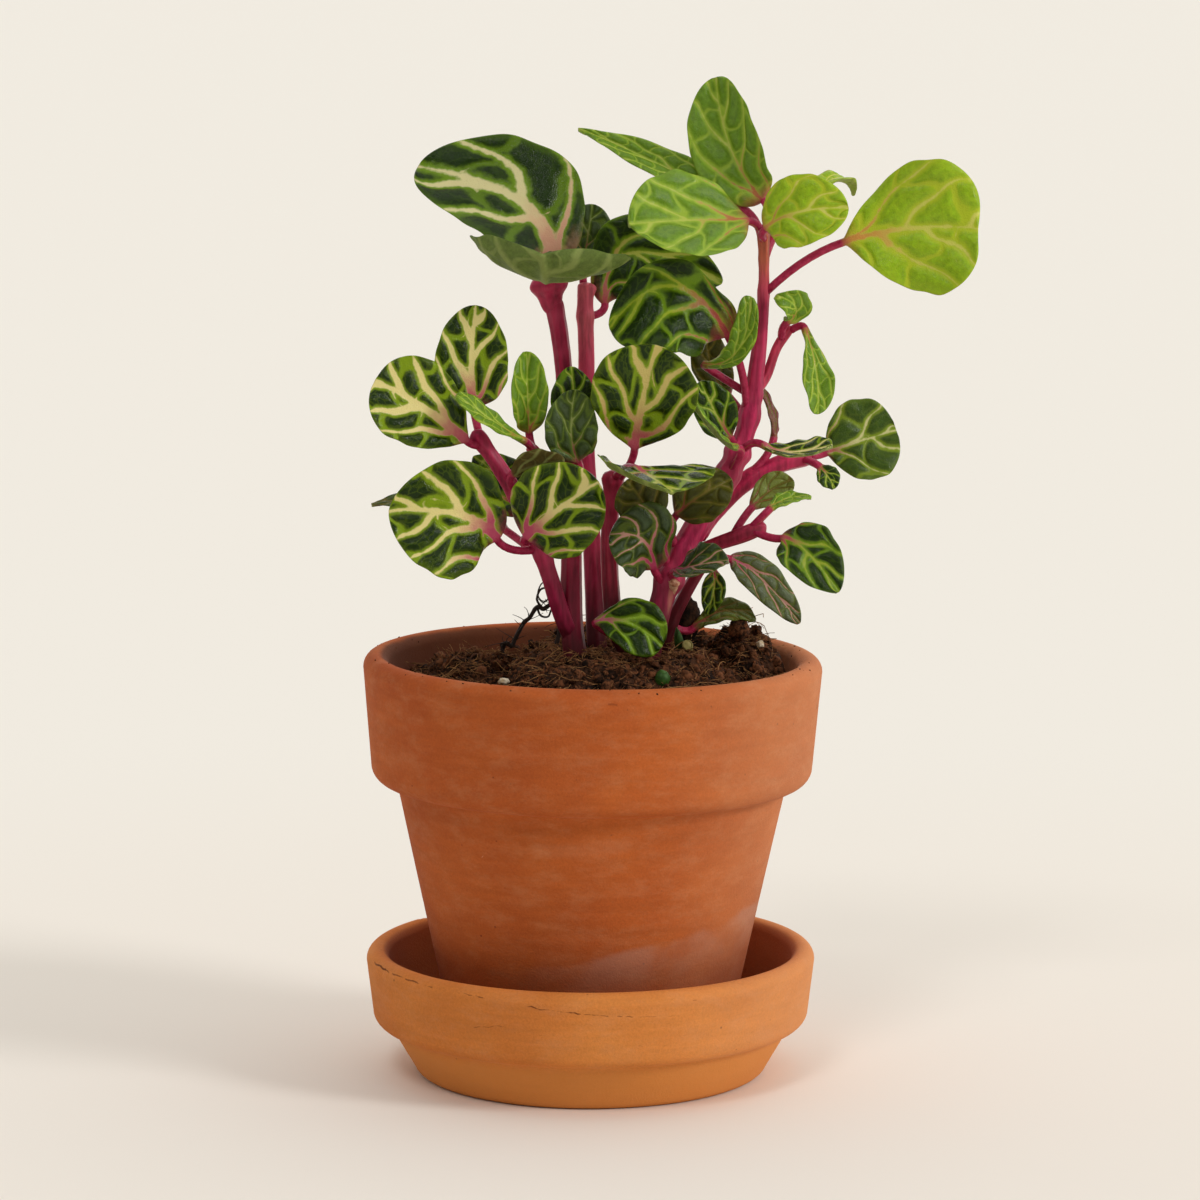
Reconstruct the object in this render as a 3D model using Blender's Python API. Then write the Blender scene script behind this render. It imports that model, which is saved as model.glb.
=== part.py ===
"""Potted bloodleaf: a clay pot on its saucer, filled with soil, with one branching plant.

Millimetres throughout this file's numbers; SCALE turns them into metres on the meshes.
+X is the plant's right, -Y its front, +Z up. The origin is the centre of the saucer's
foot, on the surface that it stands on.
"""
import math

import bmesh
import bpy
import numpy as np
from mathutils import Vector

SCALE = 0.001                 # millimetres to metres
GAP = 0.3                     # clearance between pieces that touch

# Pot
RIM_RADIUS = 55.0             # widest point of the rolled collar
RIM_HEIGHT = 101.5            # top of the lip above the surface
LIP_ROUND = 3.1               # radius of the rounded lip
COLLAR_FOOT = 71.0            # underside of the collar
COLLAR_FOOT_RADIUS = 53.0
COLLAR_ROUND = 4.0
NECK_RADIUS = 46.7            # body just under the collar
BODY_TAPER = 0.2134           # radius lost per millimetre of height
WALL_FOOT_ROUND = 1.2
POT_FLOOR = 6.0               # thickness of the pot's floor
DRAIN_RADIUS = 6.0
LEAN = math.radians(0.75)     # the fired pot's rim runs a little low at the right

# Saucer
SAUCER_RADIUS = 54.1
SAUCER_HEIGHT = 30.3
SAUCER_LIP_ROUND = 2.75
SAUCER_FOOT_RADIUS = 40.0
SAUCER_FOOT_ROUND = 3.0
SAUCER_NECK = (47.9, 11.0)    # radius and height under the collar
SAUCER_COLLAR_FOOT_RADIUS = 52.6
SAUCER_COLLAR_ROUND = 3.2
SAUCER_FLOOR = 6.5            # height of its inner floor
SAUCER_FLOOR_RADIUS = 40.5
SAUCER_INNER_NECK = (45.4, 11.5)

# Soil
SOIL_EDGE = 93.0              # level where the soil meets the pot's wall
SOIL_CROWN = 102.5            # level plateau that the stems grow from
CROWN_CENTRE = (6.0, -2.0)
CROWN_FLAT = 17.0             # radius of the plateau
CROWN_FOOT = 33.0             # radius where its slope ends
# heaps: x, y, height above the bed, spread
HEAPS = [(36, 15, 13, 8.5), (26, 24, 9, 6), (-2, 31, 10, 10), (-29, 6, 8, 8)]
CLOD_RISE = 1.7               # rise and fall of the clods that the surface is broken into
CLOD_PITCH = 0.42             # radians per millimetre: clods about 15 mm apart
CLOD_CLEAR = 4.0              # clods flatten out over this width beside the stems and the wall
# start, bend and pitch of the bend of the rows of clods, across X and along Y
CLOD_ROWS = ((0.9, 0.8, 0.23), (2.1, 0.9, 0.19))

ROUND_STEPS = 56              # facets round the pot and the saucer
LEAF_THICKNESS = 0.9
STALK_RADIUS = 0.9            # leaf stalk
SMALL_LEAF = 8.0              # a leaf narrower than this gets fewer faces
LEAF_ACROSS = 5               # points across a blade's upper side
EDGE_TAPER = 6                # power that keeps a blade's thickness up to its edges
TIP_WIDTH = 0.02
TIP_THINNING = 0.1            # share of the blade's thickness that is left at its tip
# shares of the midrib's length: where the round stalk has flattened out, where the cross-sections
# stop following the midrib's bend, and where a notched tip starts
FLAT_BY = 0.18
STRAIGHT_BY = 0.12
NOTCH_FROM = 0.6
STRAIGHTENING = 0.6           # how much the cross-sections follow the chord instead
NOTCH_REACH = 0.22            # of the blade's width
RIPPLES = 9.0                 # radians of edge ripple from base to tip
RIPPLE_SHIFT = 2.0            # radians that the left edge runs ahead of the right one

# Leaf outlines: how fast the width grows from the base, and falls to the tip
OUTLINES = {"round": (0.5, 0.5), "spoon": (0.85, 0.42), "oval": (0.65, 0.6),
            "lance": (0.8, 0.95), "drop": (0.5, 0.75), "fan": (0.9, 0.5)}

# Stems: points of each stem's centre line and its radius there, x, y, z, radius
STEMS = {
    "trunk_left": [(-3.7, -8.5, 103.3, 2.7), (-4.5, -8, 112, 2.6), (-4.5, -7, 130, 2.3),
        (-5, -4, 150, 2.1), (-6.5, -1, 172, 2), (-8.3, 0, 184, 2.2), (-9.5, 0, 190.5, 2.8)],
    "shoot_left": [(-7.8, -11.3, 113, 2), (-13, -13.5, 123, 2), (-17, -14, 134, 2), (-22, -14, 146, 2),
        (-28, -15, 157, 1.6)],
    "trunk_middle": [(1.5, 8, 103.2, 2.5), (0.5, 11, 124, 2.3), (-1, 15, 149, 2.1), (-1, 18, 171.5, 2),
        (-1.5, 20, 188, 2)],
    "trunk_centre": [(8.3, -5, 103.6, 2), (5.5, -3.5, 112, 2.1), (4.5, -3, 128, 2),
        (5.5, -6, 146.5, 2.1)],
    "trunk_right": [(14, -10, 103.5, 2.7), (18, -9, 119, 2.7), (24, -6, 131, 2.9), (31, -3, 142, 2.9),
        (36.5, -1, 154, 2.3), (39, 0, 166, 2), (41, 0, 186, 1.7), (41, 0, 203, 1.1)],
    "shoot_upper_right": [(28.9, 0.4, 135, 2.3), (38, 6, 143, 2.1), (46, 9, 146.5, 1.9),
        (53, 11, 148, 1.6)],
    "shoot_right": [(26.8, -4.8, 127.5, 1.5), (35, -8, 131, 1.4), (41.5, -11, 134, 1.2)],
    "shoot_lower_right": [(17.5, 4, 103.4, 1.7), (20, 4, 110, 1.6), (26, 4, 121, 1.4),
        (31, 3, 126, 1.1)],
    "side_shoot": [(42, 2.1, 168.4, 1.2), (44.5, 3, 175, 1.1), (48, 3.5, 180, 0.9)],
    "shoot_small": [(-7.7, -5.5, 147, 1.3), (-12, -8, 150, 1.2), (-14.5, -10, 153, 0.9)],
}

# Leaves: the stem and the height on it, then the base, middle and tip of the midrib, the width,
# the way the upper side looks, and the form. cup turns up the left and right edges, in degrees,
# fold bends both halves up along the midrib, left is the left half's share of the width,
# reach is how far the stalk holds the blade's own direction, and side is the
# side of the stem that it leaves from, where that isn't simply towards the blade.
LEAVES = {
    "crown_tall": dict(stem="trunk_right", height=202.5, base=(41, 4, 210),
        middle=(33.5, 11, 222), tip=(30, 16, 238.5),
        width=19.5, face=(-0.3, -1, 0.1), outline="round", cup=(15, 40), fold=5),
    "crown_long": dict(stem="trunk_right", height=199.5, base=(36, 7, 208),
        middle=(18, 15, 217), tip=(-3, 24, 226),
        width=9.5, face=(0.3, -1, 0.5), outline="lance", cup=(20, 20), fold=10),
    "crown_front": dict(stem="trunk_right", height=202.4, base=(37, -4, 205.5),
        middle=(23, -11, 206), tip=(9, -17, 205.5),
        width=26, face=(-0.1, -1, 0.8), outline="oval", cup=(15, 20), fold=5),
    "crown_right": dict(stem="trunk_right", height=201, base=(41.5, -6, 204),
        middle=(49, -10, 208), tip=(60.5, -12, 209),
        width=18, face=(0.1, -1, 0.4), outline="round", cup=(20, 20)),
    "crown_far": dict(stem="trunk_right", height=196.5, base=(47, 7, 206),
        middle=(58, 16, 214), tip=(63.5, 22, 210.5),
        width=7, face=(0, -0.3, 1), outline="oval", cup=(40, 40)),
    "fan_right": dict(stem="trunk_right", height=188.5, base=(60, -3, 200.5),
        middle=(76, -6, 204), tip=(93, -10, 204),
        width=32, face=(0, -1, 0.15), outline="fan", cup=(10, 10), notch=2),
    "mid_round": dict(stem="trunk_right", height=160, base=(32.5, -5, 178.5),
        middle=(19, -8, 190.5), tip=(4.5, -9, 180.5),
        width=24, face=(-0.1, -1, 0.35), outline="round", cup=(25, 40), left=0.72),
    "spoon_curl": dict(stem="trunk_right", height=164, base=(27, -3.5, 171.5),
        middle=(35, -9, 175.5), tip=(37.8, -6.5, 188),
        width=7.5, face=(-0.3, -0.8, 0.5), outline="spoon", cup=(30, 30), reach=0.1),
    "curl_top": dict(stem="side_shoot", height=177, base=(47, 0, 181.5),
        middle=(48.5, -2, 185), tip=(44, -4, 188),
        width=9, face=(0.3, -1, 0.3), outline="oval", cup=(40, 40), wave=0.8),
    "curl_hang": dict(stem="side_shoot", height=179.3, base=(51, 1.5, 179.5),
        middle=(52.5, -1, 172), tip=(52.5, -2, 162.5),
        width=5.5, face=(0.4, -1, 0.2), outline="spoon", cup=(30, 30), wave=1),
    "olive_back": dict(stem="trunk_right", height=158, base=(33, 6, 163),
        middle=(29, 11, 169.5), tip=(28, 14, 178.5),
        width=10, face=(0.2, -1, 0.1), outline="oval", cup=(20, 20)),
    "bowl_rear": dict(stem="trunk_left", height=189.5, base=(-9.5, 5, 196),
        middle=(-17.5, 12, 209.5), tip=(-41.5, 17, 217),
        width=34, face=(0.45, -1, 0.5), outline="drop", cup=(25, 20), left=0.5),
    "bowl_front": dict(stem="trunk_left", height=190, base=(-10, -6, 193.5),
        middle=(-10.5, -14, 193.5), tip=(-11, -26, 196.5),
        width=42, face=(0.1, 0.15, 1), outline="round", cup=(50, 62)),
    "bowl_grey": dict(stem="trunk_middle", height=188, base=(-1.5, 24, 195),
        middle=(-0.5, 26, 201), tip=(0.5, 28, 207.5),
        width=12, face=(0.2, -1, 0.1), outline="oval", cup=(20, 20)),
    "fan_middle": dict(stem="trunk_middle", height=181, base=(3.5, 21, 184),
        middle=(10, 23, 196), tip=(32, 20, 189.5),
        width=19, face=(0.1, -1, 0.2), outline="oval", cup=(20, 30)),
    "hero_centre": dict(stem="trunk_centre", height=144, base=(10.5, -11.5, 152.5),
        middle=(12, -16, 163), tip=(15.5, -18, 177.5),
        width=25.5, face=(0, -1, 0.15), outline="fan", cup=(15, 15)),
    "hero_under": dict(stem="trunk_centre", height=145, base=(11, -21.5, 147.6),
        middle=(14.5, -27, 148), tip=(19, -35, 152),
        width=36, face=(0.12, 0.15, 1), outline="round", cup=(30, 65)),
    "mid_dark": dict(stem="trunk_left", height=150, base=(-5, -8.5, 157),
        middle=(-4, -8.5, 163), tip=(-4.5, -7.5, 171.5),
        width=11, face=(0, -1, 0.1), outline="oval", cup=(20, 20)),
    "mid_grey": dict(stem="trunk_left", height=139, base=(-3, -11, 149.5),
        middle=(-4.5, -13, 157), tip=(-3.5, -12.5, 166.5),
        width=13, face=(0, -1, 0.1), outline="round", cup=(25, 25)),
    "pair_left": dict(stem="shoot_left", height=154, base=(-29, -18, 155),
        middle=(-38, -22, 162.5), tip=(-50, -24, 170),
        width=21, face=(0.1, -1, 0.3), outline="spoon", cup=(15, 15)),
    "pair_up": dict(stem="shoot_left", height=155.5, base=(-27.5, -11, 162),
        middle=(-28, -10, 172), tip=(-27, -8, 186),
        width=18, face=(0.1, -1, 0.1), outline="round", cup=(20, 30)),
    "small_bright": dict(stem="shoot_small", height=152, base=(-15.5, -14, 154.5),
        middle=(-23, -21, 160), tip=(-31, -26, 166.5),
        width=6.5, face=(0, -0.8, 0.8), outline="spoon", cup=(15, 15)),
    "small_fold": dict(stem="shoot_small", height=151.5, base=(-14.5, -7.5, 156),
        middle=(-14.8, -9, 165), tip=(-15, -7, 175),
        width=11, face=(0.2, -1, 0), outline="round", cup=(30, 30), fold=20, side=(0, 1, 0)),
    "small_olive": dict(stem="shoot_left", height=141.5, base=(-18, -17, 147),
        middle=(-13, -19, 149.5), tip=(-6, -21, 151),
        width=8, face=(0.1, 0.85, 0.6), outline="oval", cup=(20, 20)),
    "dark_behind": dict(stem="shoot_left", height=136, base=(-16, -7, 136),
        middle=(-21, -2, 143.5), tip=(-28, 2, 149),
        width=13, face=(0.2, -1, 0.2), outline="drop", cup=(20, 20)),
    "low_left": dict(stem="shoot_left", height=129, base=(-22, -20, 132),
        middle=(-31, -25, 138.5), tip=(-47, -26, 139.5),
        width=28.5, face=(0, -1, 0.2), outline="oval", cup=(20, 20), left=0.55),
    "low_middle": dict(stem="shoot_left", height=131.5, base=(-15, -20, 132.5),
        middle=(-8, -23, 139), tip=(2, -23, 146),
        width=23.5, face=(0, -1, 0.2), outline="round", cup=(20, 20)),
    "tip_left": dict(stem="shoot_left", height=127, base=(-20, -5, 132),
        middle=(-35, 6, 137), tip=(-53, 14, 136),
        width=12, face=(0, -0.5, 1), outline="lance", cup=(20, 20)),
    "dark_glossy": dict(stem="trunk_right", height=150, base=(33, -5, 154.5),
        middle=(29.5, -7, 160.5), tip=(26, -8, 168),
        width=11, face=(0.2, -1, 0.2), outline="oval", cup=(30, 20)),
    "sway_left": dict(stem="trunk_right", height=145.5, base=(34.5, -9.5, 152.5),
        middle=(30, -13, 156), tip=(23.5, -16, 165),
        width=7, face=(0.2, -0.25, 1), outline="lance", cup=(20, 20)),
    "sway_right": dict(stem="trunk_right", height=150.5, base=(41, -8, 152.8),
        middle=(48, -12, 151.5), tip=(57, -14, 153.5),
        width=10, face=(0.1, -0.55, 1), outline="spoon", cup=(20, 50)),
    "right_round": dict(stem="shoot_upper_right", height=148.6, base=(57, 14, 148.5),
        middle=(63, 15, 150.5), tip=(74, 18, 153.5),
        width=20.5, face=(-0.1, -1, 0.2), outline="spoon", cup=(15, 15)),
    "right_small": dict(stem="shoot_upper_right", height=147.6, base=(55, 5.5, 146),
        middle=(56.8, 4.8, 143.8), tip=(58.6, 3.8, 141),
        width=6, face=(0.3, -1, 0.3), outline="oval", cup=(20, 20), reach=0.2, side=(0.2, -1, -0.2)),
    "right_olive": dict(stem="shoot_right", height=130.5, base=(38.5, -4, 137.5),
        middle=(43.5, -1, 141.5), tip=(48.5, 0, 143.5),
        width=8, face=(0, -1, 0.4), outline="oval", cup=(20, 20)),
    "right_point": dict(stem="shoot_right", height=132.5, base=(42.5, -11, 138),
        middle=(46.5, -9, 140), tip=(52.5, -7, 140.5),
        width=5, face=(0, -0.7, 1), outline="lance", cup=(30, 30)),
    "low_right": dict(stem="shoot_right", height=132.8, base=(45.5, -15, 131.5),
        middle=(50.5, -18, 129), tip=(57, -20, 121.5),
        width=12.5, face=(0.2, -1, 0.5), outline="oval", cup=(25, 25), side=(0, -1, 0)),
    "thin_strip": dict(stem="shoot_upper_right", height=143, base=(44, 9, 152.5),
        middle=(43.5, 11, 158.5), tip=(40, 12, 166.5),
        width=4.5, face=(1, -0.6, 0), outline="lance", cup=(20, 20)),
    "olive_right": dict(stem="trunk_right", height=127, base=(20.5, -10, 136.5),
        middle=(26, -11, 141), tip=(33.5, -11, 145),
        width=10, face=(-0.2, -1, 0.5), outline="oval", cup=(20, 20)),
    "olive_left": dict(stem="trunk_right", height=122, base=(15.5, -12, 134.5),
        middle=(12, -13, 140.5), tip=(8.5, -12, 145),
        width=9, face=(0.2, -1, 0.2), outline="oval", cup=(20, 20)),
    "round_dark": dict(stem="trunk_right", height=119.5, base=(15, -15, 124.5),
        middle=(12, -20, 132), tip=(4.5, -20, 133),
        width=19, face=(0.1, -1, 0.3), outline="round", cup=(30, 30), reach=0.2),
    "round_partner": dict(stem="trunk_right", height=121, base=(20.5, -15, 123.7),
        middle=(25.5, -20, 125.7), tip=(32.5, -21, 127),
        width=13, face=(-0.1, -0.6, 1), outline="oval", cup=(40, 30)),
    "long_pointed": dict(stem="shoot_lower_right", height=125.5, base=(33.5, 3.5, 124),
        middle=(40.5, 5, 119.5), tip=(50.5, 6, 108),
        width=9.5, face=(0.2, -1, 0.4), outline="oval", cup=(20, 20)),
    "hang_small": dict(stem="shoot_lower_right", height=124, base=(29.5, -0.5, 121.5),
        middle=(29.5, -2, 117.5), tip=(28, -3, 111.5),
        width=6, face=(0, -1, 0.2), outline="oval", cup=(20, 20), side=(0, -1, 0)),
    "soil_bud": dict(stem="shoot_lower_right", height=108, base=(25, 6, 107),
        middle=(33, 7, 111), tip=(40, 8, 108.5),
        width=7, face=(0, -0.8, 0.8), outline="oval", cup=(20, 20)),
    "soil_front": dict(stem="trunk_centre", height=106, base=(1.5, -15, 111.5),
        middle=(9, -19, 112), tip=(17, -20, 106.5),
        width=13.5, face=(0, -1, 0.35), outline="spoon", cup=(20, 20), reach=0.15),
}

# Colour (linear), roughness and metallic value of each kind of piece
FINISHES = {
    "fired_clay": ((0.52, 0.17, 0.06), 0.85),
    "saucer_clay": ((0.50, 0.20, 0.07), 0.85),
    "potting_soil": ((0.04, 0.02, 0.012), 0.95),
    "crimson_stem": ((0.42, 0.03, 0.09), 0.4),
    "dark_leaf": ((0.03, 0.10, 0.02), 0.35),
    "bright_leaf": ((0.22, 0.38, 0.03), 0.4),
    "olive_leaf": ((0.13, 0.13, 0.03), 0.5),
    "dry_root": ((0.01, 0.007, 0.005), 0.8),
}
BRIGHT_LEAVES = ("crown_tall", "crown_long", "crown_front", "crown_right", "crown_far", "fan_right",
                 "curl_top", "curl_hang")
OLIVE_LEAVES = ("small_olive", "olive_back", "olive_left", "olive_right", "soil_bud", "long_pointed",
                "tip_left", "bowl_grey")
SMALL_LEAF = 8.0              # a leaf narrower than this gets fewer faces

# A dry aerial root loops out of the soil beside the left trunk: x, y, height above the soil
ROOT_ROUTE = [(-20, 4, 0.5), (-19, 3, 3.5), (-16, 3, 3), (-13.5, 2, 5.5), (-11, 1, 11), (-9, 0, 8),
              (-8.5, -0.5, 0.2)]
ROOT_RADIUS = 0.45


def clear_scene():
    for thing in list(bpy.data.objects):
        bpy.data.objects.remove(thing)


def finish(name):
    material = bpy.data.materials.get(name)
    if material is None:
        colour, roughness = FINISHES[name]
        material = bpy.data.materials.new(name)
        material.use_nodes = True
        shader = material.node_tree.nodes["Principled BSDF"]
        shader.inputs["Base Color"].default_value = (*colour, 1)
        shader.inputs["Roughness"].default_value = roughness
        shader.inputs["Metallic"].default_value = 0
    return material


def add_piece(name, mesh, material, parent):
    piece = bpy.data.objects.new(name, mesh)
    bpy.context.collection.objects.link(piece)
    piece.parent = parent
    mesh.materials.append(finish(material))
    return piece


def add_anchor(name, location=(0, 0, 0), parent=None):
    anchor = bpy.data.objects.new(name, None)
    anchor.location = Vector(location) * SCALE
    anchor.parent = parent
    bpy.context.collection.objects.link(anchor)
    return anchor


def mesh_from(bm, name):
    for vert in bm.verts:
        vert.co *= SCALE
    bmesh.ops.recalc_face_normals(bm, faces=bm.faces)
    if bm.calc_volume(signed=True) < 0:
        bmesh.ops.reverse_faces(bm, faces=bm.faces)
    mesh = bpy.data.meshes.new(name)
    bm.to_mesh(mesh)
    bm.free()
    mesh.shade_smooth()
    mesh.set_sharp_from_angle(angle=math.radians(40))
    return mesh


# Turned clay

def arc(centre, radius, start, end, steps=4):
    """Points of an arc in the (radius, height) plane, angles in degrees from the outward side."""
    angles = [math.radians(start + (end - start) * i / steps) for i in range(steps + 1)]
    return [(centre[0] + radius * math.cos(a), centre[1] + radius * math.sin(a)) for a in angles]


def body_radius(height):
    return NECK_RADIUS - BODY_TAPER * (COLLAR_FOOT - 1 - height)


POT_FOOT = SAUCER_FLOOR + GAP
LIP_CENTRE = (RIM_RADIUS - LIP_ROUND, RIM_HEIGHT - LIP_ROUND)


def bore_radius(height):
    """Inner wall of the pot: a plain taper from the lip."""
    return LIP_CENTRE[0] - LIP_ROUND - BODY_TAPER * (LIP_CENTRE[1] - height)


def pot_profile():
    foot = body_radius(POT_FOOT)
    floor = POT_FOOT + POT_FLOOR
    collar = (COLLAR_FOOT_RADIUS - COLLAR_ROUND, COLLAR_FOOT + COLLAR_ROUND)
    return ([(DRAIN_RADIUS, POT_FOOT), (foot - WALL_FOOT_ROUND, POT_FOOT), (foot, POT_FOOT + WALL_FOOT_ROUND),
             (NECK_RADIUS, COLLAR_FOOT - 1)]
            + arc(collar, COLLAR_ROUND, -90, 0, 3)
            + arc(LIP_CENTRE, LIP_ROUND, 0, 180, 6)
            + [(bore_radius(floor + 2), floor + 2), (bore_radius(floor) - 2, floor), (DRAIN_RADIUS, floor)])


def saucer_profile():
    foot = (SAUCER_FOOT_RADIUS, SAUCER_FOOT_ROUND)
    collar = (SAUCER_COLLAR_FOOT_RADIUS - SAUCER_COLLAR_ROUND, SAUCER_NECK[1] + 1 + SAUCER_COLLAR_ROUND)
    lip = (SAUCER_RADIUS - SAUCER_LIP_ROUND, SAUCER_HEIGHT - SAUCER_LIP_ROUND)
    return ([(0, 0)] + arc(foot, SAUCER_FOOT_ROUND, -90, -20, 3) + [SAUCER_NECK]
            + arc(collar, SAUCER_COLLAR_ROUND, -90, 0, 3)
            + arc(lip, SAUCER_LIP_ROUND, 0, 180, 6)
            + [SAUCER_INNER_NECK, (SAUCER_FLOOR_RADIUS + 2.5, SAUCER_FLOOR + 1.2),
               (SAUCER_FLOOR_RADIUS, SAUCER_FLOOR), (0, SAUCER_FLOOR)])


def lean(point):
    """The pot's lean grows with height: each level tilts and shifts a little to the right."""
    rise = max(0.0, point.z - POT_FOOT)
    share = rise / (RIM_HEIGHT - POT_FOOT)
    return Vector((point.x + LEAN * rise * 0.5 * share, point.y, point.z - LEAN * share * point.x))


def turned(name, profile, closed, leaning):
    """Spin a profile of (radius, height) points round the vertical axis."""
    bm = bmesh.new()
    verts = [bm.verts.new((radius, 0, height)) for radius, height in profile]
    pairs = list(zip(verts, verts[1:]))
    if closed:
        pairs.append((verts[-1], verts[0]))
    edges = [bm.edges.new(pair) for pair in pairs]
    bmesh.ops.spin(bm, geom=verts + edges, cent=(0, 0, 0), axis=(0, 0, 1), angle=math.tau, steps=ROUND_STEPS)
    bmesh.ops.remove_doubles(bm, verts=bm.verts, dist=0.001)
    if leaning:
        for vert in bm.verts:
            vert.co = lean(vert.co)
    return mesh_from(bm, name)


# Soil

def smooth_step(value, low, high):
    share = min(1.0, max(0.0, (value - low) / (high - low)))
    return share * share * (3 - 2 * share)


def soil_height(x, y):
    reach = math.hypot(x - CROWN_CENTRE[0], y - CROWN_CENTRE[1])
    slope = smooth_step(reach, CROWN_FLAT, CROWN_FOOT)
    height = SOIL_EDGE + (SOIL_CROWN - SOIL_EDGE) * (1 - slope)
    off_crown = smooth_step(reach, CROWN_FLAT, CROWN_FLAT + 6)
    for heap_x, heap_y, rise, spread in HEAPS:
        distance = math.hypot(x - heap_x, y - heap_y) / spread
        height = max(height, SOIL_EDGE + rise * math.exp(-0.5 * distance ** 2) * off_crown)
    return height + clods(x, y) * smooth_step(reach, CROWN_FLAT, CROWN_FLAT + CLOD_CLEAR)


def clods(x, y):
    """Uneven rows of clods that fade out at the pot's wall."""
    wall = bore_radius(SOIL_EDGE) - math.hypot(x, y)
    (start_x, bend_x, pitch_x), (start_y, bend_y, pitch_y) = CLOD_ROWS
    across = math.sin(CLOD_PITCH * x + start_x + bend_x * math.sin(pitch_x * y))
    along = math.sin(CLOD_PITCH * y + start_y + bend_y * math.sin(pitch_y * x))
    return CLOD_RISE * across * along * smooth_step(wall, 0, CLOD_CLEAR)


def soil_mesh():
    """A plug that fits the pot's bore, with a mounded top, built ring by ring."""
    floor = POT_FOOT + POT_FLOOR + GAP
    rings = 13
    edge = bore_radius(SOIL_EDGE) - GAP
    bm = bmesh.new()
    centre = bm.verts.new((0, 0, soil_height(0, 0)))
    loops = []
    for ring in range(1, rings + 1):
        radius = edge * ring / rings
        loops.append([])
        for step in range(ROUND_STEPS):
            angle = math.tau * step / ROUND_STEPS
            x, y = radius * math.cos(angle), radius * math.sin(angle)
            height = SOIL_EDGE if ring == rings else soil_height(x, y)
            loops[-1].append(bm.verts.new((x, y, height)))
    for radius, height in ((bore_radius(floor + 2) - GAP, floor + 2), (bore_radius(floor) - 2 - GAP, floor)):
        loops.append([bm.verts.new((radius * math.cos(math.tau * step / ROUND_STEPS),
                                    radius * math.sin(math.tau * step / ROUND_STEPS), height))
                      for step in range(ROUND_STEPS)])
    bridge(bm, loops)
    for step in range(ROUND_STEPS):
        bm.faces.new((centre, loops[0][step], loops[0][(step + 1) % ROUND_STEPS]))
    bm.faces.new(loops[-1][::-1])
    for vert in bm.verts:
        level = min(vert.co.z, SOIL_EDGE)
        shifted = lean(Vector((vert.co.x, vert.co.y, level)))
        vert.co = Vector((shifted.x, shifted.y, shifted.z + vert.co.z - level))
    bmesh.ops.triangulate(bm, faces=[face for face in bm.faces if len(face.verts) > 4])
    return mesh_from(bm, "soil")


def bridge(bm, loops):
    count = len(loops[0])
    for lower, upper in zip(loops, loops[1:]):
        for i in range(count):
            j = (i + 1) % count
            bm.faces.new((lower[i], upper[i], upper[j], lower[j]))


# Stems

def smooth_route(points, count):
    """Catmull-Rom curve through the given points; columns past z are carried along."""
    nodes = np.array(points, dtype=float)
    nodes = np.vstack([2 * nodes[0] - nodes[1], nodes, 2 * nodes[-1] - nodes[-2]])
    spans = len(nodes) - 3
    route = []
    for along in np.linspace(0, spans, count):
        span = min(int(along), spans - 1)
        t = along - span
        a, b, c, d = nodes[span:span + 4]
        route.append(0.5 * (2 * b + (c - a) * t + (2 * a - 5 * b + 4 * c - d) * t ** 2
                            + (3 * b - 3 * c + d - a) * t ** 3))
    return np.array(route)


def tube_curve(name, route, roundness):
    """A round tube along the route; each row is x, y, z and radius."""
    curve = bpy.data.curves.new(name, "CURVE")
    curve.dimensions = "3D"
    curve.bevel_depth = SCALE
    curve.bevel_resolution = roundness
    curve.use_fill_caps = True
    curve.twist_mode = "MINIMUM"
    spline = curve.splines.new("POLY")
    spline.points.add(len(route) - 1)
    for point, (x, y, z, radius) in zip(spline.points, route):
        point.co = (x * SCALE, y * SCALE, z * SCALE, 1)
        point.radius = radius
    return curve


# Leaves

def unit(vector):
    return vector / np.linalg.norm(vector)


def place_on_stem(stem, height):
    """Point, radius and direction of a stem's centre line at a height."""
    route = smooth_route(STEMS[stem], 120)
    along = np.interp(height, route[:, 2], np.arange(len(route)))
    i = int(min(along, len(route) - 2))
    point = route[i] + (route[i + 1] - route[i]) * (along - i)
    return point[:3], point[3], unit(route[i + 1, :3] - route[i, :3])


def stalk_line(form, steps):
    """Leaf stalk from just off the stem's side to the blade's base: points and directions."""
    base, middle, tip = (np.array(form[key], dtype=float) for key in ("base", "middle", "tip"))
    bend = 2 * middle - (base + tip) / 2
    node, stem_radius, stem_way = place_on_stem(form["stem"], form["height"])
    hold = base - unit(bend - base) * np.linalg.norm(base - node) * form.get("reach", 0.45)
    outward = np.array(form["side"], dtype=float) if "side" in form else base - node
    outward = unit(outward - (outward @ stem_way) * stem_way)
    slant = max(abs(unit(hold - node) @ stem_way), 0.5)
    root = node + outward * (stem_radius + 2 * GAP + STALK_RADIUS * slant)
    shares = [i / (steps + 1) for i in range(steps + 1)]
    line = [(1 - t) ** 2 * root + 2 * t * (1 - t) * hold + t * t * base for t in shares]
    ways = [unit(2 * (1 - t) * (hold - root) + 2 * t * (base - hold)) for t in shares]
    return line, ways


def blade_line(form, steps):
    """Midrib from base to tip: points, directions for the cross-sections, and shares of its length."""
    base, middle, tip = (np.array(form[key], dtype=float) for key in ("base", "middle", "tip"))
    bend = 2 * middle - (base + tip) / 2
    chord = unit(tip - base)
    shares = [0.5 - 0.5 * math.cos(math.pi * i / steps) for i in range(steps + 1)]
    line = [(1 - u) ** 2 * base + 2 * u * (1 - u) * bend + u * u * tip for u in shares]
    ways = []
    for u in shares:
        straight = STRAIGHTENING * min(1.0, u / STRAIGHT_BY)
        own = unit(2 * (1 - u) * (bend - base) + 2 * u * (tip - bend))
        ways.append(unit(own * (1 - straight) + chord * straight))
    return line, ways, shares


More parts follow.
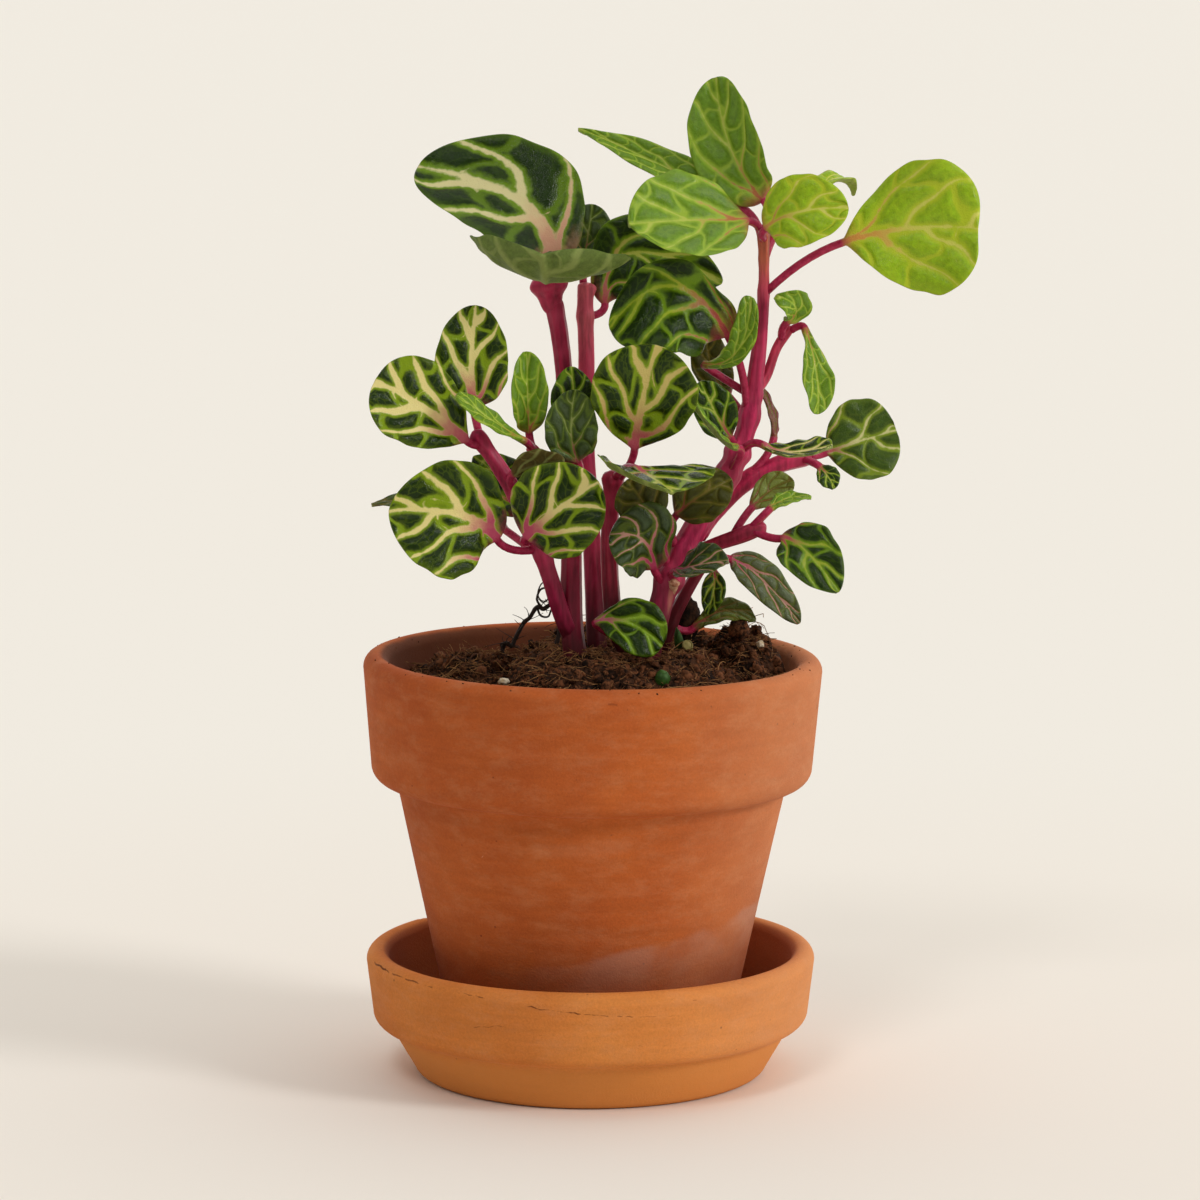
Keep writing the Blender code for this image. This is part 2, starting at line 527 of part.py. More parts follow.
def half_width(form, u):
    grow, fall = OUTLINES[form["outline"]]
    widest = grow / (grow + fall)
    peak = widest ** grow * (1 - widest) ** fall
    return form["width"] / 2 * u ** grow * (1 - u) ** fall / peak


def leaf_section(form, centre, way, u):
    """One closed ring round the stalk (u below 0) or the blade: upper side, then lower side."""
    up = unit(np.array(form["face"], dtype=float))
    up = unit(up - (up @ way) * way)
    side = np.cross(way, up)
    u = max(u, 0.0)
    spread = smooth_step(u, 0, FLAT_BY)
    at_tip = math.isclose(u, 1)
    reach = TIP_WIDTH if at_tip else math.hypot(half_width(form, u), STALK_RADIUS * (1 - spread))
    upper, lower = [], []
    for v in np.linspace(-1, 1, LEAF_ACROSS):
        hand = -1 if v < 0 else 1
        share = form.get("left", 0.5) if v < 0 else 1 - form.get("left", 0.5)
        cup = max(math.radians(form["cup"][0 if v < 0 else 1]) * spread, 0.001)
        fold = math.radians(form.get("fold", 0)) * spread
        size = reach * (1 + (2 * share - 1) * spread)
        out = size * math.sin(cup * abs(v)) / cup
        rise = size * (1 - math.cos(cup * abs(v))) / cup
        out, rise = (out * math.cos(fold) - rise * math.sin(fold),
                     out * math.sin(fold) + rise * math.cos(fold))
        place = centre + side * out * hand + up * rise
        if u > 0:
            shift = RIPPLE_SHIFT if v < 0 else 0
            place = place + up * form.get("wave", 0) * v * v * math.sin(RIPPLES * u + shift) * spread
        if form.get("notch") and u > NOTCH_FROM:
            depth = ((u - NOTCH_FROM) / (1 - NOTCH_FROM)) ** 2
            depth *= math.exp(-(out / (NOTCH_REACH * form["width"])) ** 2)
            place = place - way * form["notch"] * depth
        slope = fold + cup * abs(v)
        normal = up * math.cos(slope) - side * hand * math.sin(slope)
        stalk_half = STALK_RADIUS * math.sqrt(max(0, 1 - v * v))
        blade_half = LEAF_THICKNESS / 2 * (1 - v ** EDGE_TAPER) * (TIP_THINNING if at_tip else 1)
        half = stalk_half * (1 - spread) + blade_half * spread
        upper.append(place + normal * half)
        lower.append(place - normal * half)
    return upper + lower[-2:0:-1]


def leaf_mesh(name, form):
    small = form["width"] < SMALL_LEAF
    stalk, stalk_ways = stalk_line(form, 2 if small else 3)
    blade, blade_ways, shares = blade_line(form, 6 if small else 8)
    sections = ([leaf_section(form, *place, -1) for place in zip(stalk, stalk_ways)]
                + [leaf_section(form, *place) for place in zip(blade, blade_ways, shares)])
    bm = bmesh.new()
    loops = [[bm.verts.new(point) for point in section] for section in sections]
    bridge(bm, loops)
    bm.faces.new(loops[0])
    bm.faces.new(loops[-1][::-1])
    bmesh.ops.remove_doubles(bm, verts=bm.verts, dist=0.01)
    bmesh.ops.triangulate(bm, faces=bm.faces)
    return mesh_from(bm, name)


def leaf_finish(name):
    if name in BRIGHT_LEAVES:
        return "bright_leaf"
    return "olive_leaf" if name in OLIVE_LEAVES else "dark_leaf"


def build():
    clear_scene()
    stand = add_anchor("stand")
    plant = add_anchor("plant", parent=stand)
    add_piece("saucer", turned("saucer", saucer_profile(), False, False), "saucer_clay", stand)
    add_piece("pot", turned("pot", pot_profile(), True, True), "fired_clay", stand)
    add_piece("soil", soil_mesh(), "potting_soil", stand)
    for name, points in STEMS.items():
        route = smooth_route(points, 2 + 2 * len(points))
        add_piece("stem_" + name, tube_curve(name, route, 2), "crimson_stem", plant)
    route = [(x, y, soil_height(x, y) + GAP + ROOT_RADIUS + rise, ROOT_RADIUS) for x, y, rise in ROOT_ROUTE]
    add_piece("dry_root", tube_curve("dry_root", smooth_route(route, 22), 1), "dry_root", plant)
    for name, form in LEAVES.items():
        add_piece("leaf_" + name, leaf_mesh(name, form), leaf_finish(name), plant)


build()
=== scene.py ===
import math
import random
import re
from functools import partial

import bmesh
import bpy
import numpy as np
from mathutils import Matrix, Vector, noise


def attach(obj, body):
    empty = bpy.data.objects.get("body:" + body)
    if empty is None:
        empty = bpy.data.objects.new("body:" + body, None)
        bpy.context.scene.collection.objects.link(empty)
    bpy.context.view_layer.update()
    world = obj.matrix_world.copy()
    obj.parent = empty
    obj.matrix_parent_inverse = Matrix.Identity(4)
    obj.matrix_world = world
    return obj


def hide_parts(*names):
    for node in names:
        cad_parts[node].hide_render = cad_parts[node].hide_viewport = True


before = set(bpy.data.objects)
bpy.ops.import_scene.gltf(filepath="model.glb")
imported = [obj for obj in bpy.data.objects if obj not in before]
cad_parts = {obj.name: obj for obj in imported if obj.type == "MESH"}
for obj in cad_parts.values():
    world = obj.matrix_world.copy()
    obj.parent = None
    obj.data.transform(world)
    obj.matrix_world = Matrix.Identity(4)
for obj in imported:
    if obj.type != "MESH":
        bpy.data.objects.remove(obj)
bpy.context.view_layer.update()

mm = 0.001


def linear(code):  # sRGB hex to the linear values that Blender's sockets take
    parts = [int(code[i:i + 2], 16) / 255 for i in (1, 3, 5)]
    return tuple(c / 12.92 if c <= 0.04045 else ((c + 0.055) / 1.055) ** 2.4 for c in parts) + (1.0,)


option = {"Math": "operation", "VectorMath": "operation", "Mix": "data_type",
          "MapRange": "interpolation_type"}


def feed(node, inputs):  # socket name or number -> value, or an output, or a node for the first one it shows
    for key, value in inputs.items():
        if isinstance(value, bpy.types.Node):
            value = next(output for output in value.outputs if output.enabled)
        if isinstance(value, bpy.types.NodeSocket):
            node.id_data.links.new(value, node.inputs[key])
        else:
            node.inputs[key].default_value = value


# Adds one node. A word after the kind sets its main option. Inputs are as for feed, or a list in the order
# of the sockets that the node shows: value, from low, from high, to low and to high for a map range; place,
# scale, detail and roughness for a noise; share, first and second for a mix.
def addNode(tree, kind, inputs=(), **settings):
    kind, _, word = kind.partition(" ")
    made = tree.nodes.new(kind if "Node" in kind else "ShaderNode" + kind)
    if word:
        setattr(made, option[kind], word)
    for name, value in settings.items():
        setattr(made, name, value)
    if isinstance(inputs, list):
        shown = [number for number, socket in enumerate(made.inputs) if socket.enabled]
        inputs = dict(zip(shown, inputs))
    feed(made, dict(inputs))
    return made


def newMaterial(name, **sockets):  # a Principled shader with its uniform values set straight on it
    material = bpy.data.materials.new(name)
    material.use_nodes = True
    shader = material.node_tree.nodes["Principled BSDF"]
    for socket, value in sockets.items():
        shader.inputs[socket.replace("_", " ")].default_value = value
    return material, partial(addNode, material.node_tree), shader


def addPiece(name, mesh, material, node=None):
    piece = bpy.data.objects.new(name, mesh)
    bpy.context.scene.collection.objects.link(piece)
    if material is not None:
        mesh.materials.clear()
        mesh.materials.append(material)
    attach(piece, "root")
    if node:
        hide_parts(node)
    return piece


def grow(name, mesh, tree, values):  # runs a Geometry Nodes tree on a mesh and keeps the plain result
    carrier = bpy.data.objects.new(name, mesh)
    bpy.context.scene.collection.objects.link(carrier)
    modifier = carrier.modifiers.new(name, "NODES")
    modifier.node_group = tree
    sockets = {item.name: item.identifier for item in tree.interface.items_tree if item.item_type == "SOCKET"}
    for key, value in values.items():
        modifier[sockets[key]] = value
    graph = bpy.context.evaluated_depsgraph_get()
    result = bpy.data.meshes.new_from_object(carrier.evaluated_get(graph), preserve_all_data_layers=True,
                                             depsgraph=graph)
    carrier.modifiers.remove(modifier)
    bpy.data.objects.remove(carrier)
    result.name = name
    return result


def newTree(name, inputs):  # inputs: name -> (socket kind, default)
    tree = bpy.data.node_groups.new(name, "GeometryNodeTree")
    tree.interface.new_socket("Geometry", in_out="INPUT", socket_type="NodeSocketGeometry")
    for label, (kind, value) in inputs.items():
        socket = tree.interface.new_socket(label, in_out="INPUT", socket_type="NodeSocket" + kind)
        if value is not None:
            socket.default_value = value
    tree.interface.new_socket("Geometry", in_out="OUTPUT", socket_type="NodeSocketGeometry")
    return tree, partial(addNode, tree), tree.nodes.new("NodeGroupInput").outputs


def endTree(tree, geometry, material):  # every tree ends in plain geometry with its material
    flat = addNode(tree, "GeometryNodeRealizeInstances", [geometry])
    smooth = addNode(tree, "GeometryNodeSetShadeSmooth", [flat])
    painted = addNode(tree, "GeometryNodeSetMaterial", {0: smooth, "Material": material})
    addNode(tree, "NodeGroupOutput", [painted])


def roughen(add, geometry, waves, depth):  # pushes a surface in and out along its normal
    centred = add("Math SUBTRACT", [waves, 0.5])
    height = add("Math MULTIPLY", [centred, depth])
    push = add("VectorMath SCALE", [add("GeometryNodeInputNormal"), height])
    return add("GeometryNodeSetPosition", {0: geometry, "Offset": push})


def unit(vector):
    return vector / np.linalg.norm(vector)


def smoothStep(value, low, high):
    share = np.clip((value - low) / (high - low), 0.0, 1.0)
    return share * share * (3 - 2 * share)


def faceOutwards(mesh):
    bm = bmesh.new()
    bm.from_mesh(mesh)
    bmesh.ops.recalc_face_normals(bm, faces=bm.faces)
    if bm.calc_volume(signed=True) < 0:
        bmesh.ops.reverse_faces(bm, faces=bm.faces)
    bm.to_mesh(mesh)
    bm.free()


def meshFrom(name, points, faces):  # a closed mesh from points in millimetres, faces turned outwards
    mesh = bpy.data.meshes.new(name)
    mesh.from_pydata([tuple(p) for p in np.asarray(points, dtype=float) * mm], [], faces)
    faceOutwards(mesh)
    mesh.shade_smooth()
    return mesh


# Camera: a long lens at seated eye height, looking a little down
view = {"place": (2.3, -1116, 279), "down": 8.38, "lens": 141.36, "sensor": 36}
lensData = bpy.data.cameras.new("studioCamera")
lensData.lens, lensData.sensor_width = view["lens"], view["sensor"]
lensData.clip_start, lensData.clip_end = 0.01, 60
camera = bpy.data.objects.new("studioCamera", lensData)
camera.location = Vector(view["place"]) * mm
camera.rotation_euler = (math.radians(90 - view["down"]), 0, 0)
bpy.context.scene.collection.objects.link(camera)
bpy.context.scene.camera = camera
bpy.context.scene.view_settings.view_transform = "Standard"  # so that paint colours stay what they are
print("camera placed")

# Clay: both vessels are turned from a half profile of radius and height
potShape = {"rimRadius": 55.0, "rimHeight": 101.5, "lipRound": 3.1, "collarFoot": 71.0,
            "collarFootRadius": 53.0, "collarRound": 4.0, "neckRadius": 46.7, "taper": 0.2134,
            "footRound": 1.2, "foot": 6.8, "floor": 6.0, "lipInset": 0.6, "lipAbove": 98.5,
            "drainRadius": 6.0, "leanDegrees": 0.75, "turningSteps": 240, "stepLength": 1.8,
            "handMarks": 0.09, "seed": 3}
saucerShape = {"radius": 54.1, "height": 30.3, "lipRound": 2.75, "footRadius": 40.0, "footRound": 3.0,
               "neck": (47.9, 11.0), "collarFootRadius": 52.6, "collarRound": 3.2, "floor": 6.5,
               "floorRadius": 40.5, "innerNeck": (45.4, 11.5), "turningSteps": 240, "stepLength": 1.5,
               "handMarks": 0.08, "seed": 8,
               "chip": (-42.8, 32.3, 30.3), "chipReach": 2.6, "chipDepth": 1.3}


def arc(centre, radius, start, end, steps=8):
    angles = np.radians(np.linspace(start, end, steps + 1))
    return [(centre[0] + radius * math.cos(a), centre[1] + radius * math.sin(a)) for a in angles]


def bodyRadius(height):
    return potShape["neckRadius"] - potShape["taper"] * (potShape["collarFoot"] - 1 - height)


def boreRadius(height):
    lip = potShape["rimRadius"] - potShape["lipRound"]
    return lip - potShape["lipRound"] - potShape["taper"] * (
        potShape["rimHeight"] - potShape["lipRound"] - height)


def potProfile():
    s = potShape
    foot, floor = bodyRadius(s["foot"]), s["foot"] + s["floor"]
    collar = (s["collarFootRadius"] - s["collarRound"], s["collarFoot"] + s["collarRound"])
    lip = (s["rimRadius"] - s["lipRound"], s["rimHeight"] - s["lipRound"])
    # the collar runs into the body in a soft corner
    fillet = [(s["neckRadius"] - 0.25, s["collarFoot"] - 2.2),
              (s["neckRadius"] + 0.25, s["collarFoot"] - 0.9),
              (s["neckRadius"] + 1.0, s["collarFoot"] - 0.15)]
    return ([(s["drainRadius"], s["foot"]), (foot - s["footRound"], s["foot"])]
            + arc((foot - s["footRound"], s["foot"] + s["footRound"]), s["footRound"], -60, 0, 3)
            + fillet + arc(collar, s["collarRound"], -90, 0) + arc(lip, s["lipRound"], 0, 180, 14)
            + [(boreRadius(floor + 2), floor + 2), (boreRadius(floor) - 2, floor), (s["drainRadius"], floor),
               (s["drainRadius"], s["foot"])])


def saucerProfile():
    s = saucerShape
    collar = (s["collarFootRadius"] - s["collarRound"], s["neck"][1] + 1 + s["collarRound"])
    lip = (s["radius"] - s["lipRound"], s["height"] - s["lipRound"])
    return ([(0, 0)] + arc((s["footRadius"], s["footRound"]), s["footRound"], -90, -20, 6)
            + [(s["neck"][0] - 0.3, s["neck"][1] - 0.8), (s["neck"][0] + 0.35, s["neck"][1] + 0.6)]
            + arc(collar, s["collarRound"], -90, 0) + arc(lip, s["lipRound"], 0, 180, 14)
            + [s["innerNeck"], (s["floorRadius"] + 2.5, s["floor"] + 1.2), (s["floorRadius"], s["floor"]),
               (0, s["floor"])])


def evenly(profile, step):  # more points along each straight run of a profile, its corners kept
    points = [profile[0]]
    for a, b in zip(profile, profile[1:]):
        count = max(1, round(math.dist(a, b) / step))
        points += [(a[0] + (b[0] - a[0]) * i / count, a[1] + (b[1] - a[1]) * i / count)
                   for i in range(1, count + 1)]
    return points


def lean(points):  # the fired pot's rim runs a little low on its right, more the higher it is
    s = potShape
    rise = np.maximum(0.0, points[:, 2] - s["foot"])
    share = rise / (s["rimHeight"] - s["foot"])
    slope = math.radians(s["leanDegrees"])
    return np.stack([points[:, 0] + slope * rise * 0.5 * share, points[:, 1],
                     points[:, 2] - slope * share * points[:, 0]], axis=1)


def turningTree(material):
    tree, add, given = newTree("turnedClay", {
        "Turning Steps": ("Int", 200), "Profile Points": ("Int", 80), "Hand Marks": ("Float", 0.0001),
        "Seed": ("Float", 0.0)})
    columns = add("Math ADD", [given["Turning Steps"], 1.0])
    sheet = add("GeometryNodeMeshGrid",
        {"Size X": math.tau, "Size Y": 1.0, "Vertices X": columns, "Vertices Y": given["Profile Points"]})
    at = add("SeparateXYZ", [add("GeometryNodeInputPosition")])
    last = add("Math SUBTRACT", [given["Profile Points"], 1.0])
    along = add("Math ADD", [at.outputs["Y"], 0.5])
    row = add("Math MULTIPLY_ADD", [along, last, 0.25])
    whole = add("FunctionNodeFloatToInt", [row], rounding_mode="FLOOR")
    spot = add("GeometryNodeSampleIndex",
        {0: given["Geometry"], "Value": add("GeometryNodeInputPosition"), "Index": whole},
        data_type="FLOAT_VECTOR", domain="POINT")
    half = add("SeparateXYZ", [spot])
    cosine = add("Math COSINE", [at.outputs["X"]])
    sine = add("Math SINE", [at.outputs["X"]])
    x = add("Math MULTIPLY", [half.outputs["X"], cosine])
    y = add("Math MULTIPLY", [half.outputs["X"], sine])
    place = add("CombineXYZ", [x, y, half.outputs["Z"]])
    turned = add("GeometryNodeSetPosition", {0: sheet, "Position": place})
    closed = add("GeometryNodeMergeByDistance", {0: turned, "Distance": 0.00001})
    # a thrown wall is never quite true: slow waves round it and fine rings up it
    stretch = add("VectorMath MULTIPLY", [add("GeometryNodeInputPosition"), (40.0, 40.0, 420.0)])
    waves = add("TexNoise", {"Vector": stretch, "W": given["Seed"], "Scale": 1.0, "Detail": 2.0},
        noise_dimensions="4D")
    worn = roughen(add, closed, waves, given["Hand Marks"])
    endTree(tree, worn, material)
    return tree


def turned(name, profile, shape, tree, leaning):
    profile = evenly(profile, shape["stepLength"])
    line = bpy.data.meshes.new(name + "Profile")
    line.from_pydata([(r * mm, 0, h * mm) for r, h in profile], [], [])
    mesh = grow(name, line, tree, {"Turning Steps": shape["turningSteps"], "Profile Points": len(profile),
                                   "Hand Marks": shape["handMarks"] * mm, "Seed": float(shape["seed"])})
    points = np.array([v.co for v in mesh.vertices]) / mm
    if leaning:
        points = lean(points)
    if "chip" in shape:  # a flake is missing from the lip at the back
        away = np.linalg.norm(points - np.array(shape["chip"]), axis=1)
        ragged = np.array([noise.noise(Vector(p) * 0.9) for p in points])
        depth = shape["chipDepth"] * smoothStep(shape["chipReach"] - away + ragged, 0.0, 1.0)
        points[:, 2] -= depth
        points[:, :2] *= (1 - 0.006 * depth)[:, None]
    mesh.vertices.foreach_set("co", (points * mm).ravel())
    faceOutwards(mesh)
    mesh.update()
    return mesh


# Terracotta: low-fired earthenware, thrown and left unglazed. Iron in the clay gives the orange
# brown, the open grain gives a dry surface with no highlight, and water brings salts out as a
# pale film near the foot.
def terracotta(name, light, dark, grainSeed):
    material, add, shader = newMaterial(name, Roughness=0.85, Metallic=0.0, IOR=1.5, Specular_IOR_Level=0.18)
    place = add("TexCoord").outputs["Object"]
    shifted = add("Mapping", {"Vector": place, "Location": (grainSeed, 0, 0)})
    clouds = add("TexNoise", [shifted, 28.0, 5.0, 0.55])  # patches about 35 mm across
    stretched = add("Mapping", {"Vector": shifted, "Scale": (1.0, 1.0, 9.0)})
    rings = add("TexNoise", [stretched, 60.0, 4.0])
    grit = add("TexNoise", [shifted, 1700.0, 3.0, 0.7])  # sand grains of 0.5 mm
    blend = add("MapRange", [clouds, 0.32, 0.68])
    base = add("Mix RGBA", [blend, linear(dark), linear(light)])
    ringed = add("MapRange", [rings, 0.3, 0.7, 0.93, 1.06])
    speckle = add("MapRange", [grit, 0.3, 0.7, 0.9, 1.08])
    tone = add("Math MULTIPLY", [ringed, speckle])
    shade = add("VectorMath SCALE", [base, tone])
    # iron spots: a few dark dots, each under half a millimetre
    dots = add("TexVoronoi", {"Vector": shifted, "Scale": 260.0}, feature="F1")
    dotColour = add("SeparateColor", [dots.outputs["Color"]])
    rare = add("Math GREATER_THAN", [dotColour, 0.78])
    near = add("MapRange SMOOTHSTEP", [dots, 0.03, 0.1, 0.7, 0.0])
    spots = add("Math MULTIPLY", [rare, near])
    spotted = add("Mix RGBA", [spots, shade, linear("#5a2a14")])
    # dust: dry clay bloom in smeared patches about 12 mm across
    smear = add("Mapping", {"Vector": shifted, "Scale": (1.0, 1.0, 2.2)})
    dustNoise = add("TexNoise", [smear, 110.0, 7.0, 0.75])
    dustAndLitSide = add("MapRange SMOOTHSTEP", [dustNoise, 0.42, 0.75, 0.0, 0.2])
    # painted light: the clay is painted paler towards the right, the side that faces the key light
    lighter = add("MapRange SMOOTHSTEP", [add("SeparateXYZ", [place]), 0.012, 0.054, 0.0, 0.34])
    dustAndLitSide = add("Math ADD", [dustAndLitSide, lighter])
    # the pale tone laid on here is partly dust and partly painted light on the lit side
    spotted = add("Mix RGBA", [dustAndLitSide, spotted, linear("#d69b70")])
    bump = add("Bump", {"Strength": 0.55, "Distance": 0.00025, "Height": grit})
    feed(shader, {"Normal": bump})
    return material, add, shader, place, clouds, spotted


def scratchSet(add, place, colour, marks):  # fine lines drawn on the clay: ends, half width, share, tone
    for (x1, y1, z1), (x2, y2, z2), width, share, code in marks:
        # distance from the line between the two ends, with a wobble so that no line is ruled
        wobble = add("TexNoise", [place, 420.0, 2.0])
        off = add("VectorMath MULTIPLY_ADD",
            [wobble.outputs["Color"], (0.0009, 0.0009, 0.0009), (-0.00045, -0.00045, -0.00045)])
        moved = add("VectorMath ADD", [place, off])
        start, way = Vector((x1, y1, z1)) * mm, Vector((x2 - x1, y2 - y1, z2 - z1)) * mm
        fromStart = add("VectorMath SUBTRACT", [moved, start])
        along = add("VectorMath DOT_PRODUCT", [fromStart, way / way.length_squared])
        held = add("Clamp", [along])
        nearest = add("VectorMath SCALE", [way, held])
        gap = add("VectorMath DISTANCE", [fromStart, nearest])
        line = add("MapRange SMOOTHSTEP", [gap, width * 0.3 * mm, width * mm, share, 0.0])
        colour = add("Mix RGBA", [line, colour, linear(code)])
    return colour


def potClay():
    material, add, shader, place, clouds, colour = terracotta("potTerracotta", "#bd622b", "#a95023", 0.31)
    at = add("SeparateXYZ", [place])
    # damp: the wall stays darker and redder low down, most on the left
    dampLevel = add("Math MULTIPLY_ADD", [clouds, 0.02, at.outputs["Z"]])
    damp = add("MapRange SMOOTHSTEP", [dampLevel, 0.024, 0.056, 0.75, 0.0])
    wet = add("Mix RGBA", [damp, colour, linear("#8a3815")])
    # salt film: it starts at an uneven tide line that climbs to the right, and thins out below it
    tide = add("MapRange", [at.outputs["X"], -0.02, 0.036, 0.0312, 0.043])
    ripple = add("TexNoise", [place, 90.0, 4.0])
    uneven = add("Math MULTIPLY_ADD", [ripple, 0.005, -0.0025])
    edge = add("Math ADD", [tide, uneven])
    below = add("Math SUBTRACT", [edge, at.outputs["Z"]])
    starts = add("MapRange SMOOTHSTEP", [below, -0.0005, 0.0018])
    thins = add("MapRange SMOOTHSTEP", [below, 0.001, 0.013, 1.0, 0.3])
    rightward = add("MapRange SMOOTHSTEP", [at.outputs["X"], -0.026, 0.012, 0.0, 1.0])
    patchy = add("MapRange", [ripple, 0.36, 0.62, 0.15, 1.0])
    film = starts
    for share in (thins, rightward, patchy, 0.36):
        film = add("Math MULTIPLY", [film, share])
    hazed = add("Mix RGBA", [film, wet, linear("#bd9480")])
    # the inner wall is stained by the soil it held
    reach = add("VectorMath LENGTH", [add("VectorMath MULTIPLY", [place, (1.0, 1.0, 0.0)])])
    bore = add("Math MULTIPLY_ADD", [at.outputs["Z"], potShape["taper"], (boreRadius(0) + 1.3) * mm])
    within = add("Math SUBTRACT", [bore, reach])
    within = add("Math MULTIPLY_ADD", [ripple, 0.0016, within])
    stain = add("MapRange SMOOTHSTEP", [within, 0.0006, 0.0022, 0.0, 0.86])
    hazed = add("Mix RGBA", [stain, hazed, linear("#54301f")])
    drawn = scratchSet(add, place, hazed, [
        ((-27.2, -34.2, 55.8), (-24.5, -37.4, 60.7), 0.16, 0.55, "#d79a72"),
        ((-23.8, -39.2, 65.5), (-23.1, -40.1, 68.1), 0.16, 0.5, "#d79a72"),
        ((-12.0, -44.0, 62.0), (8.0, -44.6, 63.4), 2.6, 0.07, "#d9a683"),
        ((48.0, -26.8, 85.2), (49.6, -24.0, 85.6), 0.45, 0.85, "#3a1c0e"),
        ((53.0, -14.6, 88.5), (53.3, -13.4, 84.5), 0.4, 0.8, "#3a1c0e"),
        ((53.6, -11.0, 93.0), (53.9, -10.0, 90.0), 0.4, 0.7, "#3a1c0e"),
        ((4.3, -54.9, 98.6), (6.0, -54.7, 98.4), 0.4, 0.4, "#5a2a14"),
        ((30.0, -46.1, 87.0), (30.8, -45.5, 86.9), 0.4, 0.7, "#e2b48f")])
    feed(shader, {"Base Color": drawn})
    return material


def saucerClay():
    material, add, shader, place, _, colour = terracotta("saucerTerracotta", "#d68641", "#c97534", 1.7)
    at = add("SeparateXYZ", [place])
    # inside, water has left the clay browner; the inner face lies inside this radius at each height
    reach = add("VectorMath LENGTH", [add("VectorMath MULTIPLY", [place, (1.0, 1.0, 0.0)])])
    low = add("MapRange", [at.outputs["Z"], 0.006, 0.012, 0.0415, 0.0474])
    limit = add("MapRange", [at.outputs["Z"], 0.012, 0.028, 0.0, 0.0027])
    limit = add("Math ADD", [low, limit])
    within = add("Math SUBTRACT", [limit, reach])
    inside = add("MapRange SMOOTHSTEP", [within, -0.0004, 0.0009, 0.0, 0.75])
    high = add("MapRange", [at.outputs["Z"], 0.0045, 0.0062])
    inner = add("Math MULTIPLY", [inside, high])
    # the foot stayed dry and is paler
    # painted light: the foot is painted paler to make up for the shade that falls on it under the collar
    lighter = add("MapRange SMOOTHSTEP", [at.outputs["Z"], 0.009, 0.013, 0.75, 0.0])
    colour = add("Mix RGBA", [lighter, colour, linear("#d88c46")])
    stained = add("Mix RGBA", [inner, colour, linear("#9a5330")])
    crack, fine, pale = "#5a2a14", "#8a4a22", "#e3a873"
    drawn = scratchSet(add, place, stained, [
        ((-52.6, -12.0, 29.4), (-47.9, -24.6, 29.2), 0.34, 0.9, crack),
        ((-47.9, -24.6, 29.2), (-39.9, -36.6, 28.9), 0.28, 0.75, crack),
        ((-39.9, -36.6, 28.9), (-27.0, -46.8, 28.6), 0.22, 0.6, crack),
        ((-27.0, -46.8, 28.6), (-13.5, -52.3, 27.1), 0.22, 0.7, crack),
        ((-13.5, -52.3, 27.1), (-1.9, -54.0, 26.0), 0.26, 0.85, crack),
        ((-1.9, -54.0, 26.0), (10.5, -53.0, 25.0), 0.18, 0.6, crack),
        ((10.5, -53.0, 25.0), (23.3, -48.8, 24.4), 0.15, 0.35, fine),
        ((-32.9, -42.8, 19.8), (-18.6, -50.6, 22.3), 0.17, 0.6, fine),
        ((-30.0, -44.8, 18.9), (-20.0, -50.0, 20.6), 0.14, 0.5, pale),
        ((-13.5, -52.0, 20.6), (14.9, -51.6, 17.4), 0.13, 0.35, fine),
        ((14.9, -51.6, 17.4), (40.5, -35.2, 17.6), 0.13, 0.3, fine),
        ((24.0, -48.4, 27.9), (44.5, -30.6, 27.6), 0.2, 0.4, fine)])
    feed(shader, {"Base Color": drawn})
    return material


potMesh = turned("pot", potProfile(), potShape, turningTree(potClay()), True)
addPiece("clayPot", potMesh, None, "pot")
saucerMesh = turned("saucer", saucerProfile(), saucerShape, turningTree(saucerClay()), False)
addPiece("claySaucer", saucerMesh, None, "saucer")
print("pot and saucer turned")

# Soil: a plug of potting mix that fills the pot, mounded round the stems
soilShape = {"edge": 93.0, "crown": 102.5, "crownCentre": (6.0, -2.0), "crownFlat": 17.0, "crownFoot": 33.0,
             "heaps": [(36, 15, 13, 8.5), (26, 24, 9, 6), (-2, 31, 10, 10), (-29, 6, 8, 8)],
             "clodRise": 1.7, "clodPitch": 0.42, "clodClear": 4.0, "clodRows": ((0.9, 0.8, 0.23),
                 (2.1, 0.9, 0.19)),
             "rings": 84, "around": 230, "gap": 0.3, "sunk": 0.5, "lumps": 1.1, "grains": 0.5,
             "openReach": 46.5, "openAbove": 80}
crumbShape = {"Density": 880000.0, "Smallest": 0.00018, "Largest": 0.00085, "Roughness": 0.0007, "Seed": 5}
clodShape = {"Density": 95000.0, "Smallest": 0.0007, "Largest": 0.0019, "Roughness": 0.0021, "Seed": 12}
fibreShape = {"Density": 250000.0, "Length": 0.005, "Thickness": 0.00006, "Waviness": 0.005, "Seed": 21}
strandShape = {"Density": 15000.0, "Length": 0.0115, "Thickness": 0.0001, "Waviness": 0.009, "Seed": 33}
rimCrumbShape = {"Density": 42000.0, "Smallest": 0.00008, "Largest": 0.0003, "Roughness": 0.0003, "Seed": 9}


def soilHeight(x, y):
    s = soilShape
    reach = math.hypot(x - s["crownCentre"][0], y - s["crownCentre"][1])
    height = s["edge"] + (s["crown"] - s["edge"]) * (1 - smoothStep(reach, s["crownFlat"], s["crownFoot"]))
    offCrown = smoothStep(reach, s["crownFlat"], s["crownFlat"] + 6)
    for heapX, heapY, rise, spread in s["heaps"]:
        distance = math.hypot(x - heapX, y - heapY) / spread
        height = max(height, s["edge"] + rise * math.exp(-0.5 * distance ** 2) * offCrown)
    return height + clods(x, y) * smoothStep(reach, s["crownFlat"], s["crownFlat"] + s["clodClear"])


